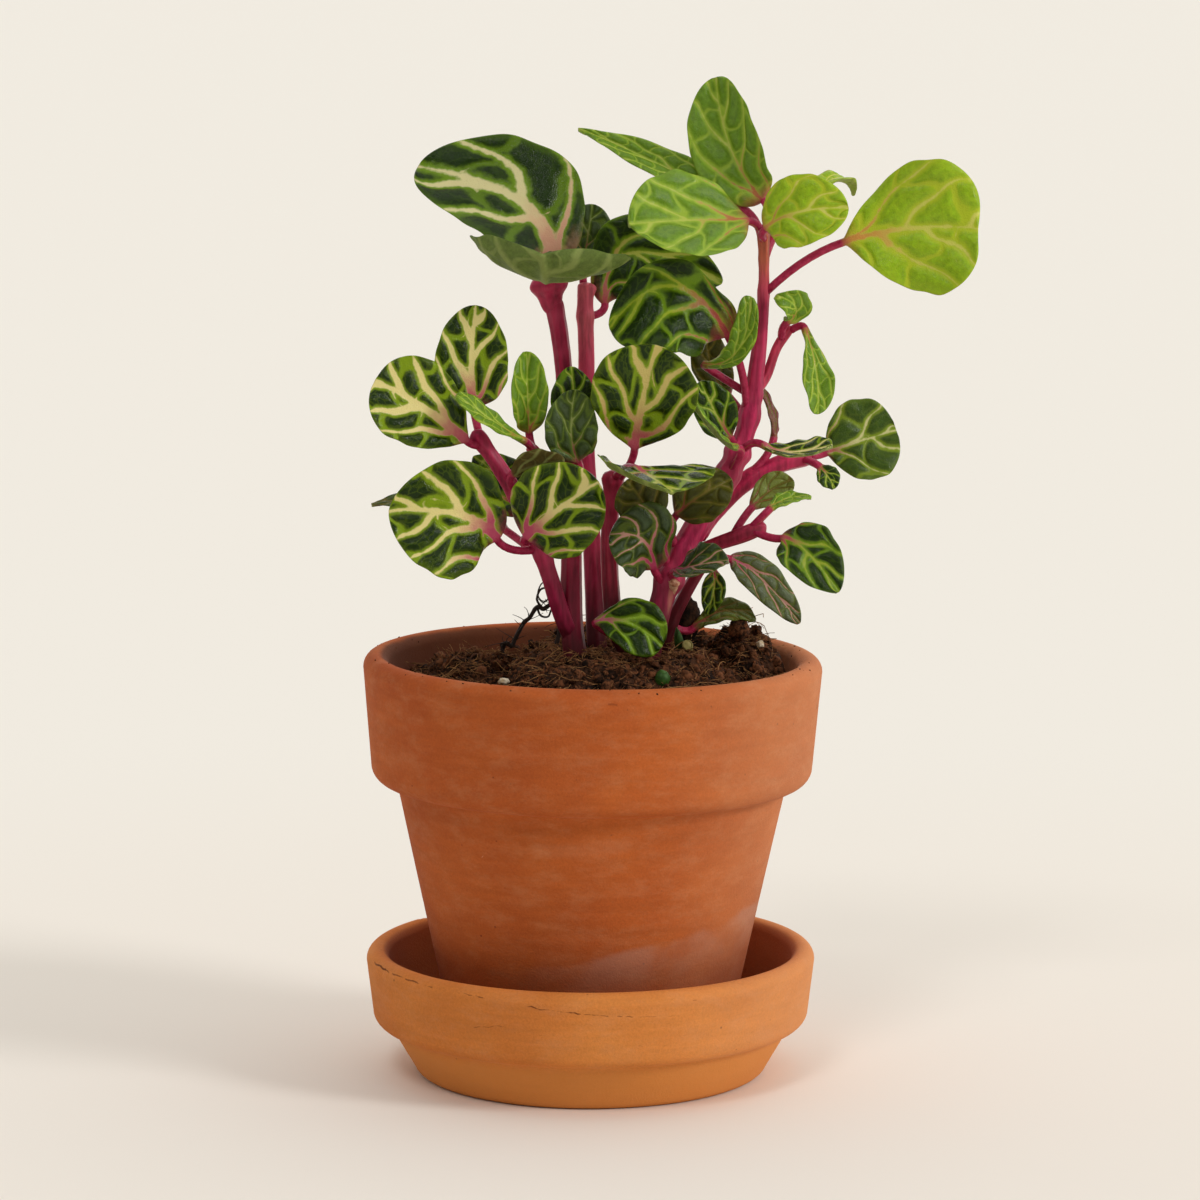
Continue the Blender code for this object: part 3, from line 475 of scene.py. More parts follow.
def clods(x, y):  # uneven rows of clods that fade out at the pot's wall
    s = soilShape
    wall = boreRadius(s["edge"]) - math.hypot(x, y)
    (startX, bendX, pitchX), (startY, bendY, pitchY) = s["clodRows"]
    across = math.sin(s["clodPitch"] * x + startX + bendX * math.sin(pitchX * y))
    along = math.sin(s["clodPitch"] * y + startY + bendY * math.sin(pitchY * x))
    return s["clodRise"] * across * along * smoothStep(wall, 0, s["clodClear"])


def crumbly(x, y, height):  # lumps and grains on the bed, which lies a little low to leave room for crumbs
    s = soilShape
    return (height - s["sunk"] + s["lumps"] * noise.noise((x * 0.33, y * 0.33, 7.7))
            + s["grains"] * noise.noise((x * 1.3, y * 1.3, 1.9)))


def soilMesh():
    s = soilShape
    floor = potShape["foot"] + potShape["floor"] + s["gap"]
    wall = boreRadius(s["edge"]) - s["gap"]
    points, faces = [(0, 0, crumbly(0, 0, soilHeight(0, 0)))], []
    for ring in range(1, s["rings"] + 1):
        radius = wall * ring / s["rings"]
        for step in range(s["around"]):
            angle = math.tau * step / s["around"]
            x, y = radius * math.cos(angle), radius * math.sin(angle)
            points.append((x, y, crumbly(x, y, soilHeight(x, y))))
    for radius, height in ((boreRadius(floor + 2) - s["gap"], floor + 2),
                           (boreRadius(floor) - 2 - s["gap"], floor)):
        points += [(radius * math.cos(math.tau * i / s["around"]),
            radius * math.sin(math.tau * i / s["around"]),
                    height) for i in range(s["around"])]
    count = s["around"]
    faces += [(0, 1 + i, 1 + (i + 1) % count) for i in range(count)]
    for ring in range(s["rings"] + 1):
        start = 1 + ring * count
        faces += [(start + i, start + count + i, start + count + (i + 1) % count, start + (i + 1) % count)
                  for i in range(count)]
    faces.append(tuple(range(len(points) - count, len(points))))
    points = np.array(points)
    level = np.minimum(points[:, 2], s["edge"])
    moved = lean(np.stack([points[:, 0], points[:, 1], level], axis=1))
    moved[:, 2] += points[:, 2] - level
    return meshFrom("soil", moved, faces)


def topOf(mesh, name, reach, above):  # only the open surface, for things that lie on it
    bm = bmesh.new()
    bm.from_mesh(mesh)
    loose = [f for f in bm.faces if f.normal.z < 0.2 or f.calc_center_median().z < above * mm
             or f.calc_center_median().xy.length > reach * mm]
    bmesh.ops.delete(bm, geom=loose, context="FACES")
    top = bpy.data.meshes.new(name)
    bm.to_mesh(top)
    bm.free()
    return top


# Potting mix: damp peat and coir, nearly black in its hollows and red brown on dry crumbs
def pottingMix(name, lighter, damp, scale):
    material, add, shader = newMaterial(name, Roughness=0.95, Metallic=0.0, IOR=1.4, Specular_IOR_Level=0.2)
    place = add("TexCoord").outputs["Object"]
    patches = add("TexNoise", [place, scale, 4.0, 0.65])
    crumbs = add("TexNoise", [place, 1400.0, 3.0])
    mixed = add("Math MULTIPLY_ADD", [crumbs, 0.6, patches])
    ramp = add("MapRange SMOOTHSTEP", [mixed, 0.62, 1.0])
    colour = add("Mix RGBA", [ramp, linear(damp), linear(lighter)])
    bump = add("Bump", {"Strength": 0.8, "Distance": 0.0004, "Height": crumbs})
    feed(shader, {"Base Color": colour, "Normal": bump})
    return material


def scatter(add, given, thing, leastTurn, mostTurn, scale):  # copies of one thing all over a surface
    spots = add("GeometryNodeDistributePointsOnFaces",
        {"Mesh": given["Geometry"], "Density": given["Density"], "Seed": given["Seed"]},
        distribute_method="RANDOM")
    turn = add("FunctionNodeRandomValue", {0: leastTurn, 1: mostTurn, "Seed": given["Seed"]},
        data_type="FLOAT_VECTOR")
    placed = add("GeometryNodeInstanceOnPoints",
        {"Points": spots.outputs["Points"], "Instance": thing, "Rotation": turn, "Scale": scale})
    return add("GeometryNodeRealizeInstances", [placed])


def jitter(add, geometry, grain, middle, reach):  # moves points by a noise, in all three directions
    waves = add("TexNoise", [add("GeometryNodeInputPosition"), grain, 1.0])
    off = add("VectorMath SUBTRACT", [waves.outputs["Color"], middle])
    far = add("VectorMath SCALE", [off, reach])
    return add("GeometryNodeSetPosition", {0: geometry, "Offset": far})


def crumbTree(name, material, subdivisions):
    tree, add, given = newTree(name, {
        "Density": ("Float", 1.0), "Smallest": ("Float", 0.0003), "Largest": ("Float", 0.001),
        "Roughness": ("Float", 0.001), "Seed": ("Int", 0)})
    crumb = add("GeometryNodeMeshIcoSphere", {"Radius": 1.0, "Subdivisions": subdivisions})
    size = add("FunctionNodeRandomValue", {2: given["Smallest"], 3: given["Largest"], "Seed": given["Seed"]},
        data_type="FLOAT")
    squash = add("FunctionNodeRandomValue", {0: (0.6, 0.5, 0.45), 1: (1.35, 1.0, 0.9), "Seed": given["Seed"]},
        data_type="FLOAT_VECTOR")
    scale = add("VectorMath SCALE", [squash, size])
    loose = scatter(add, given, crumb, (0, 0, 0), (math.tau, math.tau, math.tau), scale)
    endTree(tree, jitter(add, loose, 1500.0, (0.5, 0.5, 0.5), given["Roughness"]), material)
    return tree


def fibreTree(material):  # coir: each strand lies nearly flat, bends, and keeps one thickness
    tree, add, given = newTree("coirFibres", {
        "Density": ("Float", 1.0), "Length": ("Float", 0.006), "Thickness": ("Float", 0.0001),
        "Waviness": ("Float", 0.003), "Seed": ("Int", 0)})
    strand = add("GeometryNodeCurvePrimitiveLine", {0: (-0.5, 0, 0.0), 1: (0.5, 0, 0.0)})
    fine = add("GeometryNodeResampleCurve", {0: strand, "Count": 7})
    length = add("FunctionNodeRandomValue", {2: 0.25, 3: 1.35, "Seed": given["Seed"]}, data_type="FLOAT")
    size = add("Math MULTIPLY", [length, given["Length"]])
    loose = scatter(add, given, fine, (-0.5, -0.55, 0.0), (0.5, 0.55, math.tau), size)
    bent = jitter(add, loose, 130.0, (0.5, 0.5, 0.32), given["Waviness"])
    section = add("GeometryNodeCurvePrimitiveCircle", {"Resolution": 4, "Radius": given["Thickness"]})
    tube = add("GeometryNodeCurveToMesh", {0: bent, 1: section, "Fill Caps": True})
    endTree(tree, tube, material)
    return tree


def stoneOf(name, place, size, tone, seed):  # one lump, squashed and dented, seated at its place
    bm = bmesh.new()
    bmesh.ops.create_icosphere(bm, subdivisions=4, radius=1.0)
    for vert in bm.verts:
        dent = 1 + 0.22 * noise.noise(vert.co * 1.6 + Vector((seed, 0, 0))) + 0.1 * noise.noise(
            vert.co * 5 + Vector((seed, 3, 0)))
        vert.co = Vector([(place[i] + vert.co[i] * dent * size[i]) * mm for i in range(3)])
    mesh = bpy.data.meshes.new(name)
    bm.to_mesh(mesh)
    bm.free()
    mesh.shade_smooth()
    return addPiece(name, mesh, tone, None)


plug = soilMesh()
addPiece("soilBed", plug, pottingMix("pottingMix", "#4e3120", "#170d07", 190.0), "soil")
bed = topOf(plug, "soilTop", soilShape["openReach"], soilShape["openAbove"])
crumbMix = pottingMix("peatCrumbs", "#7a4b2f", "#170d07", 260.0)
peatCrumbs, peatClods = crumbTree("soilCrumbs", crumbMix, 1), crumbTree("soilClods", crumbMix, 2)
rim = topOf(potMesh, "rimTop", potShape["rimRadius"] - potShape["lipInset"], potShape["lipAbove"])
# Coir: coconut husk fibre, dull gold brown and dry
coir = fibreTree(pottingMix("coirFibre", "#b08253", "#5f3a22", 150.0))
for name, ground, growth, shape in (("soilCrumbs", bed, peatCrumbs, crumbShape),
                                    ("soilClods", bed, peatClods, clodShape),
                                    ("rimCrumbs", rim, peatCrumbs, rimCrumbShape),
                                    ("coirFibres", bed, coir, fibreShape),
                                    ("coirStrands", bed, coir, strandShape)):
    addPiece(name, grow(name, ground, growth, shape), None, None)
# Perlite: expanded volcanic glass, off white and pitted
perlite = pottingMix("perlite", "#e8dcc4", "#b79f7c", 600.0)
peatLump = pottingMix("peatLump", "#3a2416", "#120a06", 420.0)
lumps = {"perliteFront": ((-20.5, -12.5, 96.9), (1.3, 1.0, 0.9), perlite),
         "perliteRight": ((41.0, 9.4, 102.4), (1.0, 0.9, 0.9), perlite),
         "peatClod": ((23.0, 9.0, 108.6), (3.2, 3.0, 5.9), peatLump),
         "peatOnBud": ((35.8, 6.4, 106.6), (2.5, 2.0, 2.9), crumbMix)}
for number, (name, (place, size, tone)) in enumerate(lumps.items()):
    stoneOf(name, place, size, tone, 2.0 + number)
print("soil laid")

# Stems: points of each centre line in millimetres and the radius there
stemShape = {"ribs": 6, "ribDepth": 0.055, "roundSteps": 36, "step": 0.6, "endRound": 0.55, "endGirth": 0.3,
             "skin": 0.22, "swelling": 0.16, "swellingReach": 1.6, "buried": 4.0, "soilReach": 105,
             "tone": "#9c2440",
             "tones": {"trunkLeft": "#96203f", "trunkMiddle": "#ad2f52", "trunkCentre": "#8f2238",
                       "trunkRight": "#aa2a50", "shootUpperRight": "#a8264a", "shootRight": "#a03048",
                       "shootLeft": "#a2244a", "shootLowerRight": "#8c2c3c", "sideShoot": "#b03a50",
                       "shootSmall": "#a03040"},
             "fades": {"trunkMiddle": ("#c46a6c", 0.55, 162, 184), "trunkRight": ("#b0643c", 0.75, 183, 198)}}
stems = {
    "trunkLeft": [(-3.7, -8.5, 103.3, 2.7), (-4.5, -8, 112, 2.6), (-4.5, -7, 130, 2.3), (-5, -4, 150, 2.1),
        (-6.5, -1, 172, 2), (-8.3, 0, 184, 2.2), (-9.2, 0, 186, 2.7), (-10.2, -0.5, 193, 4.2)],
    "shootLeft": [(-4.6, -8, 107.5, 2.2), (-6.6, -10.5, 112, 2.1), (-9.9, -12.5, 123, 2.1),
        (-13.6, -13.5, 134, 2), (-20, -14, 146, 2), (-27.4, -15, 157, 1.6)],
    "trunkMiddle": [(1.5, 8, 103.2, 2.5), (0.5, 11, 124, 2.3), (-1, 15, 149, 2.1), (-1, 18, 171.5, 2),
        (-1.3, 19.5, 184, 2), (-0.6, 20.5, 189, 2.1)],
    "trunkCentre": [(8.3, -5, 103.6, 2), (5.5, -3.5, 112, 2.1), (4.5, -3, 128, 2), (5.5, -6, 146.5, 2.1)],
    "trunkRight": [(14, -10, 103.5, 2.7), (18, -9, 119, 2.7), (24, -6, 131, 2.9), (31, -3, 142, 2.9),
        (36.5, -1, 154, 2.3), (39, 0, 166, 2), (41, 0, 186, 1.35), (41, 0, 203, 1)],
    "shootUpperRight": [(25.5, -5, 130.5, 2.2), (28.9, 0.4, 135, 2.3), (38, 6, 143, 2.1), (46, 9, 146.5, 1.9),
        (53, 11, 148, 1.6)],
    "shootRight": [(21.9, -7.3, 124.5, 1.5), (26.8, -4.8, 127.5, 1.5), (35, -8, 131, 1.4),
        (41.5, -11, 134, 1.2)],
    "shootLowerRight": [(17.5, 4, 103.4, 1.7), (20, 4, 110, 1.6), (26, 4, 121, 1.4), (31, 3, 126, 1.1)],
    "sideShoot": [(39.2, 0, 164.5, 1.3), (42, 2.1, 168.4, 1.2), (44.5, 3, 175, 1.1), (48, 3.5, 180, 0.9)],
    "shootSmall": [(-5, -4.6, 145, 1.3), (-7.7, -5.5, 147, 1.3), (-12, -8, 150, 1.2), (-14.5, -10, 153, 0.9)],
}

# Leaves. In the table below reach is how far the stalk holds the blade's own direction; side is where it
# leaves the stem, if that isn't towards the blade; left is the left half's share of the width; fold bends
# both halves up, in degrees; wave ripples the edges and notch cuts in at the tip, in millimetres; paint
# changes the skin.
leafShape = {"grain": 0.42, "thickness": 0.55, "stalkRadius": 0.95, "stalkSteps": 6, "flatBy": 0.18,
             "straightBy": 0.12, "straightening": 0.6, "marginWander": 0.03, "marginRipple": 0.28,
             "arch": 0.65, "bow": 1.15, "halfStep": 0.45, "drift": 0.1, "zigzag": 0.08, "slant": 0.14,
             "cellLength": 1.6, "midBand": 0.2, "midTaper": 0.15, "sideBand": 0.15, "sideTaper": 0.11,
             "crossBand": 0.06, "quilting": 0.6, "midribWidth": 0.8, "midribDepth": 0.3, "midribSwell": 0.9,
             "stalkBend": 0.45, "rootedBy": 0.55, "notchFrom": 0.6, "notchSpread": 0.22}
# how fast each outline widens from the base, and narrows to the tip
outlines = {"round": (0.5, 0.5), "spoon": (0.85, 0.42), "oval": (0.65, 0.6), "lance": (0.8, 0.95),
            "drop": (0.5, 0.75), "fan": (0.9, 0.5)}
# one row each: cell between the veins, halo beside them, the veins, the stalk end, the back, how wide the
# pale bands are, the strength of the cross veins, the painted grey sheen, and the number of side veins
skinColumns = ("cell", "halo", "vein", "foot", "under", "band", "net", "paintedSheen", "veins")
skinRows = {
    "deep": ("#1a2e02", "#678614", "#a3a944", "#a03c46", "#5a6a30", 0.55, 0.75, 0, 2.1),
    "cream": ("#1b2e02", "#7b9316", "#decf88", "#b84a60", "#7e8448", 1, 1, 0.02, 2.6),
    "fresh": ("#668a1e", "#93ad34", "#b0bb50", "#b0643f", "#84964a", 0.35, 0.9, 0.12, 2.5),
    "sunny": ("#8fb01e", "#adbd2a", "#c9c95c", "#c08a48", "#98aa44", 0.45, 1.5, 0, 2.4),
    "grey": ("#3c4c22", "#5c7022", "#8a9450", "#95504a", "#747f4a", 0.35, 0.6, 0.3, 2.4),
    "olive": ("#43420f", "#5f5c1a", "#77692c", "#8a3f35", "#524518", 0.35, 0.4, 0.1, 2.2),
    "blush": ("#2c3a16", "#56641c", "#b08070", "#a83256", "#645032", 0.6, 0.6, 0.25, 2.5),
}
skins = {name: dict(zip(skinColumns, row)) for name, row in skinRows.items()}
# one row each: stem, height on it, base, middle and tip of the midrib, width, the way the top looks, outline,
# the degrees that the left and right edges turn up, skin, slot, and what else sets it apart
leafColumns = ("stem", "height", "base", "middle", "tip", "width", "face", "outline", "cup", "skin", "slot")
leafRows = {
    "crownTall": ("trunkRight", 202.5, (41, 4, 210), (33.5, 11, 222), (30, 16, 238.5), 19.5, (-0.3, -1, 0.1),
        "round", (15, 40), "fresh", "bright_leaf", {"fold": 9}),
    "crownLong": ("trunkRight", 199.5, (36, 7, 208), (18, 15, 217), (-3, 24, 226), 9.5, (0.3, -1, 0.5),
        "lance", (20, 20), "fresh", "bright_leaf", {"fold": 10}),
    "crownFront": ("trunkRight", 202.4, (37, -4, 205.5), (23, -11, 206), (9, -17, 205.5), 26,
        (-0.1, -1, 0.8), "oval", (15, 20), "fresh", "bright_leaf", {"fold": 5, "paint": {"paintedSheen": 0.25}}),
    "crownRight": ("trunkRight", 201, (41.5, -6, 204), (49, -10, 208), (60.5, -12, 209), 18, (0.1, -1, 0.4),
        "round", (20, 20), "sunny", "bright_leaf", {}),
    "crownFar": ("trunkRight", 196.5, (47, 7, 206), (58, 16, 214), (63.5, 22, 210.5), 7, (0, -0.3, 1),
        "oval", (40, 40), "sunny", "bright_leaf", {}),
    "fanRight": ("trunkRight", 188.5, (60, -3, 200.5), (76, -6, 204), (93, -10, 204), 32, (0, -1, 0.15),
        "fan", (10, 10), "sunny", "bright_leaf", {"notch": 2, "wave": 1.6, "paint": {"foot": "#c98a45"}}),
    "midRound": ("trunkRight", 160, (32.5, -5, 178.5), (19, -8, 190.5), (4.5, -9, 180.5), 24,
        (-0.1, -1, 0.35), "round", (25, 40), "deep", "dark_leaf",
        {"left": 0.72, "paint": {"foot": "#9c3a3a", "vein": "#97a62c", "net": 0.9}}),
    "spoonCurl": ("trunkRight", 164, (27, -3.5, 171.5), (35, -9, 175.5), (37.8, -6.5, 188), 7.5,
        (-0.3, -0.8, 0.5), "spoon", (30, 30), "fresh", "dark_leaf", {"reach": 0.1}),
    "curlTop": ("sideShoot", 177, (47, 0, 181.5), (48.5, -2, 185), (44, -4, 188), 9, (0.3, -1, 0.3), "oval",
        (40, 40), "fresh", "bright_leaf", {"wave": 0.8}),
    "curlHang": ("sideShoot", 179.3, (51, 1.5, 179.5), (53.5, -1.5, 170), (54, -2.5, 159.5), 8,
        (0.4, -1, 0.2), "spoon", (30, 30), "fresh", "bright_leaf", {"wave": 1}),
    "oliveBack": ("trunkRight", 158, (33, 6, 163), (29, 11, 169.5), (28, 14, 178.5), 10, (0.2, -1, 0.1),
        "oval", (20, 20), "olive", "olive_leaf", {}),
    "bowlRear": ("trunkLeft", 189.5, (-9.5, 5, 196), (-17.5, 12, 209.5), (-41.5, 17, 217), 32,
        (0.45, -1, 0.5), "round", (25, 20), "deep", "dark_leaf",
        {"left": 0.5, "paint": {"vein": "#cdc48e", "foot": "#c58f74", "band": 0.95, "net": 0.5,
            "veins": 1.8}}),
    "bowlFront": ("trunkLeft", 190, (-10, -6, 193.5), (-10.5, -17, 192.6), (-11, -25, 199.3), 42,
        (0.1, 0.15, 1), "round", (40, 50), "grey", "dark_leaf", {"paint": {"under": "#5f7032"}}),
    "bowlGrey": ("trunkMiddle", 188, (-1.5, 24, 195), (-0.5, 26, 201), (0.5, 28, 207.5), 12, (0.2, -1, 0.1),
        "oval", (20, 20), "grey", "olive_leaf", {}),
    "fanMiddle": ("trunkMiddle", 181, (3.5, 21, 184), (10, 23, 196), (32, 20, 189.5), 19, (0.1, -1, 0.2),
        "oval", (20, 30), "deep", "dark_leaf", {"paint": {"foot": "#b05a5a", "net": 0.8}}),
    "heroCentre": ("trunkCentre", 144, (10.5, -11.5, 152.5), (12, -16, 163), (15.5, -18, 177.5), 25.5,
        (0, -1, 0.15), "fan", (15, 15), "cream", "dark_leaf", {"paint": {"vein": "#c9b56a"}}),
    "heroUnder": ("trunkCentre", 145, (11, -20, 148.5), (14.5, -27, 147.2), (19, -35, 145), 32,
        (0.1, -0.2, 1), "round", (10, 46), "cream", "dark_leaf",
        {"paint": {"under": "#6f7f38", "vein": "#b5b54e", "band": 0.7}}),
    "midDark": ("trunkLeft", 150, (-5, -8.5, 157), (-4, -8.5, 163), (-4.5, -7.5, 171.5), 11, (0, -1, 0.1),
        "oval", (20, 20), "deep", "dark_leaf", {"paint": {"cell": "#18240a"}}),
    "midGrey": ("trunkLeft", 139, (-3, -11, 149.5), (-4.5, -13, 157), (-3.5, -12.5, 166.5), 13, (0, -1, 0.1),
        "round", (25, 25), "grey", "dark_leaf", {}),
    "pairLeft": ("shootLeft", 154, (-29, -18, 155), (-38, -22, 162.5), (-50, -24, 170), 21, (0.1, -1, 0.3),
        "spoon", (15, 15), "cream", "dark_leaf", {"paint": {"band": 1.35}}),
    "pairUp": ("shootLeft", 155.5, (-27.5, -11, 162), (-28, -10, 172), (-27, -8, 186), 18, (0.1, -1, 0.1),
        "round", (20, 30), "cream", "dark_leaf", {"paint": {"band": 1.3}}),
    "smallBright": ("shootSmall", 152, (-15.5, -14, 154.5), (-23, -21, 160), (-31, -26, 166.5), 6.5,
        (0, -0.8, 0.8), "spoon", (15, 15), "fresh", "dark_leaf", {}),
    "smallFold": ("shootSmall", 151.5, (-14.5, -7.5, 156), (-14.8, -9, 165), (-15, -7, 175), 11,
        (0.2, -1, 0), "round", (30, 30), "fresh", "dark_leaf", {"fold": 20, "side": (0, 1, 0)}),
    "smallOlive": ("shootLeft", 141.5, (-18, -17, 147), (-13, -19, 149.5), (-6, -21, 151), 8,
        (0.1, 0.85, 0.6), "oval", (20, 20), "olive", "olive_leaf", {}),
    "darkBehind": ("shootLeft", 136, (-16, -7, 136), (-21, -2, 143.5), (-28, 2, 149), 13, (0.2, -1, 0.2),
        "drop", (20, 20), "deep", "dark_leaf", {"paint": {"cell": "#18240a"}}),
    "lowLeft": ("shootLeft", 129, (-22, -20, 132), (-31, -25, 138.5), (-47, -26, 139.5), 28.5, (0, -1, 0.2),
        "oval", (20, 20), "cream", "dark_leaf", {"left": 0.55, "paint": {"foot": "#b0305c"}}),
    "lowMiddle": ("shootLeft", 131.5, (-15, -20, 132.5), (-8, -23, 139), (2, -23, 146), 23.5, (0, -1, 0.2),
        "round", (20, 20), "cream", "dark_leaf", {"paint": {"foot": "#b0305c"}}),
    "tipLeft": ("shootLeft", 127, (-20, -5, 132), (-35, 6, 137), (-53, 14, 136), 12, (0, -0.5, 1), "lance",
        (20, 20), "olive", "olive_leaf", {"paint": {"cell": "#4c5a2c"}}),
    "darkGlossy": ("trunkRight", 150, (33, -5, 154.5), (29.5, -7, 160.5), (26, -8, 168), 11, (0.2, -1, 0.2),
        "oval", (30, 20), "deep", "dark_leaf", {}),
    "swayLeft": ("trunkRight", 145.5, (34.5, -9.5, 152.5), (30, -13, 156), (23.5, -16, 165), 7,
        (0.2, -0.25, 1), "lance", (20, 20), "fresh", "dark_leaf", {}),
    "swayRight": ("trunkRight", 150.5, (41, -8, 152.8), (48, -12, 151.5), (57, -14, 153.5), 10,
        (0.1, -0.55, 1), "spoon", (15, 45), "cream", "dark_leaf", {}),
    "rightRound": ("shootUpperRight", 148.6, (57, 14, 148.5), (63, 15, 150.5), (74, 18, 153.5), 20.5,
        (-0.1, -1, 0.2), "spoon", (15, 15), "deep", "dark_leaf",
        {"paint": {"cell": "#3a5014", "halo": "#7c9022", "vein": "#c4c084", "band": 0.45, "veins": 2.1}}),
    "rightSmall": ("shootUpperRight", 147.6, (55, 5.5, 146), (56.8, 4.8, 143.8), (58.6, 3.8, 141), 6,
        (0.3, -1, 0.3), "oval", (20, 20), "deep", "dark_leaf", {"reach": 0.2, "side": (0.2, -1, -0.2)}),
    "rightOlive": ("shootRight", 130.5, (38.5, -4, 137.5), (43.5, -1, 141.5), (48.5, 0, 143.5), 8,
        (0, -1, 0.4), "oval", (20, 20), "olive", "dark_leaf", {"paint": {"cell": "#77823a"}}),
    "rightPoint": ("shootRight", 132.5, (42.5, -11, 138), (46.5, -9, 140), (52.5, -7, 140.5), 5,
        (0, -0.7, 1), "lance", (30, 30), "fresh", "dark_leaf", {}),
    "lowRight": ("shootRight", 132.8, (45.5, -15, 131.5), (50.5, -18, 129), (58.5, -20.5, 119.5), 15,
        (0.2, -1, 0.5), "oval", (25, 25), "deep", "dark_leaf",
        {"side": (0, -1, 0), "paint": {"vein": "#8f9c2e"}}),
    "thinStrip": ("shootUpperRight", 143, (44, 9, 152.5), (43.5, 11, 158.5), (40, 12, 166.5), 4.5,
        (1, -0.6, 0), "lance", (20, 20), "olive", "dark_leaf", {"paint": {"cell": "#7a3a3a"}}),
    "oliveRight": ("trunkRight", 127, (20.5, -10, 136.5), (26, -11, 141), (33.5, -11, 145), 15,
        (-0.2, -1, 0.5), "oval", (20, 20), "olive", "olive_leaf", {}),
    "oliveLeft": ("trunkRight", 122, (15.5, -12, 134.5), (12, -13, 140.5), (8.5, -12, 145), 14,
        (0.2, -1, 0.2), "oval", (20, 20), "olive", "olive_leaf", {}),
    "roundDark": ("trunkRight", 119.5, (15, -15, 124.5), (12, -20, 132), (4.5, -20, 133), 19, (0.1, -1, 0.3),
        "round", (30, 30), "blush", "dark_leaf", {"reach": 0.2}),
    "roundPartner": ("trunkRight", 121, (20.5, -15, 123.7), (25.5, -20, 125.7), (32.5, -21, 127), 13,
        (-0.1, -0.6, 1), "oval", (40, 30), "blush", "dark_leaf", {}),
    "longPointed": ("shootLowerRight", 125.5, (33.5, 3.5, 124), (40.5, 5, 119.5), (50.5, 6, 108), 9.5,
        (0.2, -1, 0.4), "oval", (20, 20), "blush", "olive_leaf", {"paint": {"cell": "#5d6647"}}),
    "hangSmall": ("shootLowerRight", 124, (29.5, -0.5, 121.5), (29.5, -2, 117.5), (28, -3, 111.5), 6,
        (0, -1, 0.2), "oval", (20, 20), "deep", "dark_leaf", {"side": (0, -1, 0)}),
    "soilBud": ("shootLowerRight", 108, (25, 6, 107), (33, 7, 111), (40, 8, 108.5), 7, (0, -0.8, 0.8),
        "oval", (20, 20), "olive", "olive_leaf", {"paint": {"cell": "#5c6a28"}}),
    "soilFront": ("trunkCentre", 106, (1.5, -15, 111.5), (9, -19, 112), (17, -20, 106.5), 13.5,
        (0, -1, 0.35), "spoon", (20, 20), "deep", "dark_leaf",
        {"reach": 0.15, "paint": {"foot": "#b0506a", "vein": "#86a52c"}}),
}
leaves = {name: dict(zip(leafColumns, row), **row[-1]) for name, row in leafRows.items()}


def store(mesh, name, values, kind="FLOAT_VECTOR", field="vector"):  # one value a point
    mesh.attributes.new(name, kind, "POINT").data.foreach_set(field, values.ravel())


def smoothRoute(points, count):  # Catmull-Rom through the points; columns past z are carried along
    nodes = np.array(points, dtype=float)
    nodes = np.vstack([2 * nodes[0] - nodes[1], nodes, 2 * nodes[-1] - nodes[-2]])
    spans = len(nodes) - 3
    route = []
    for along in np.linspace(0, spans, count):
        span = min(int(along), spans - 1)
        t = along - span
        a, b, c, d = nodes[span:span + 4]
        route.append(0.5 * (2 * b + (c - a) * t + (2 * a - 5 * b + 4 * c - d) * t ** 2
                            + (3 * b - 3 * c + d - a) * t ** 3))
    return np.array(route)


def placeOnStem(stem, height):
    route = smoothRoute(stems[stem], 120)
    along = np.interp(height, route[:, 2], np.arange(len(route)))
    i = int(min(along, len(route) - 2))
    point = route[i] + (route[i + 1] - route[i]) * (along - i)
    return point[:3], point[3], unit(route[i + 1, :3] - route[i, :3])


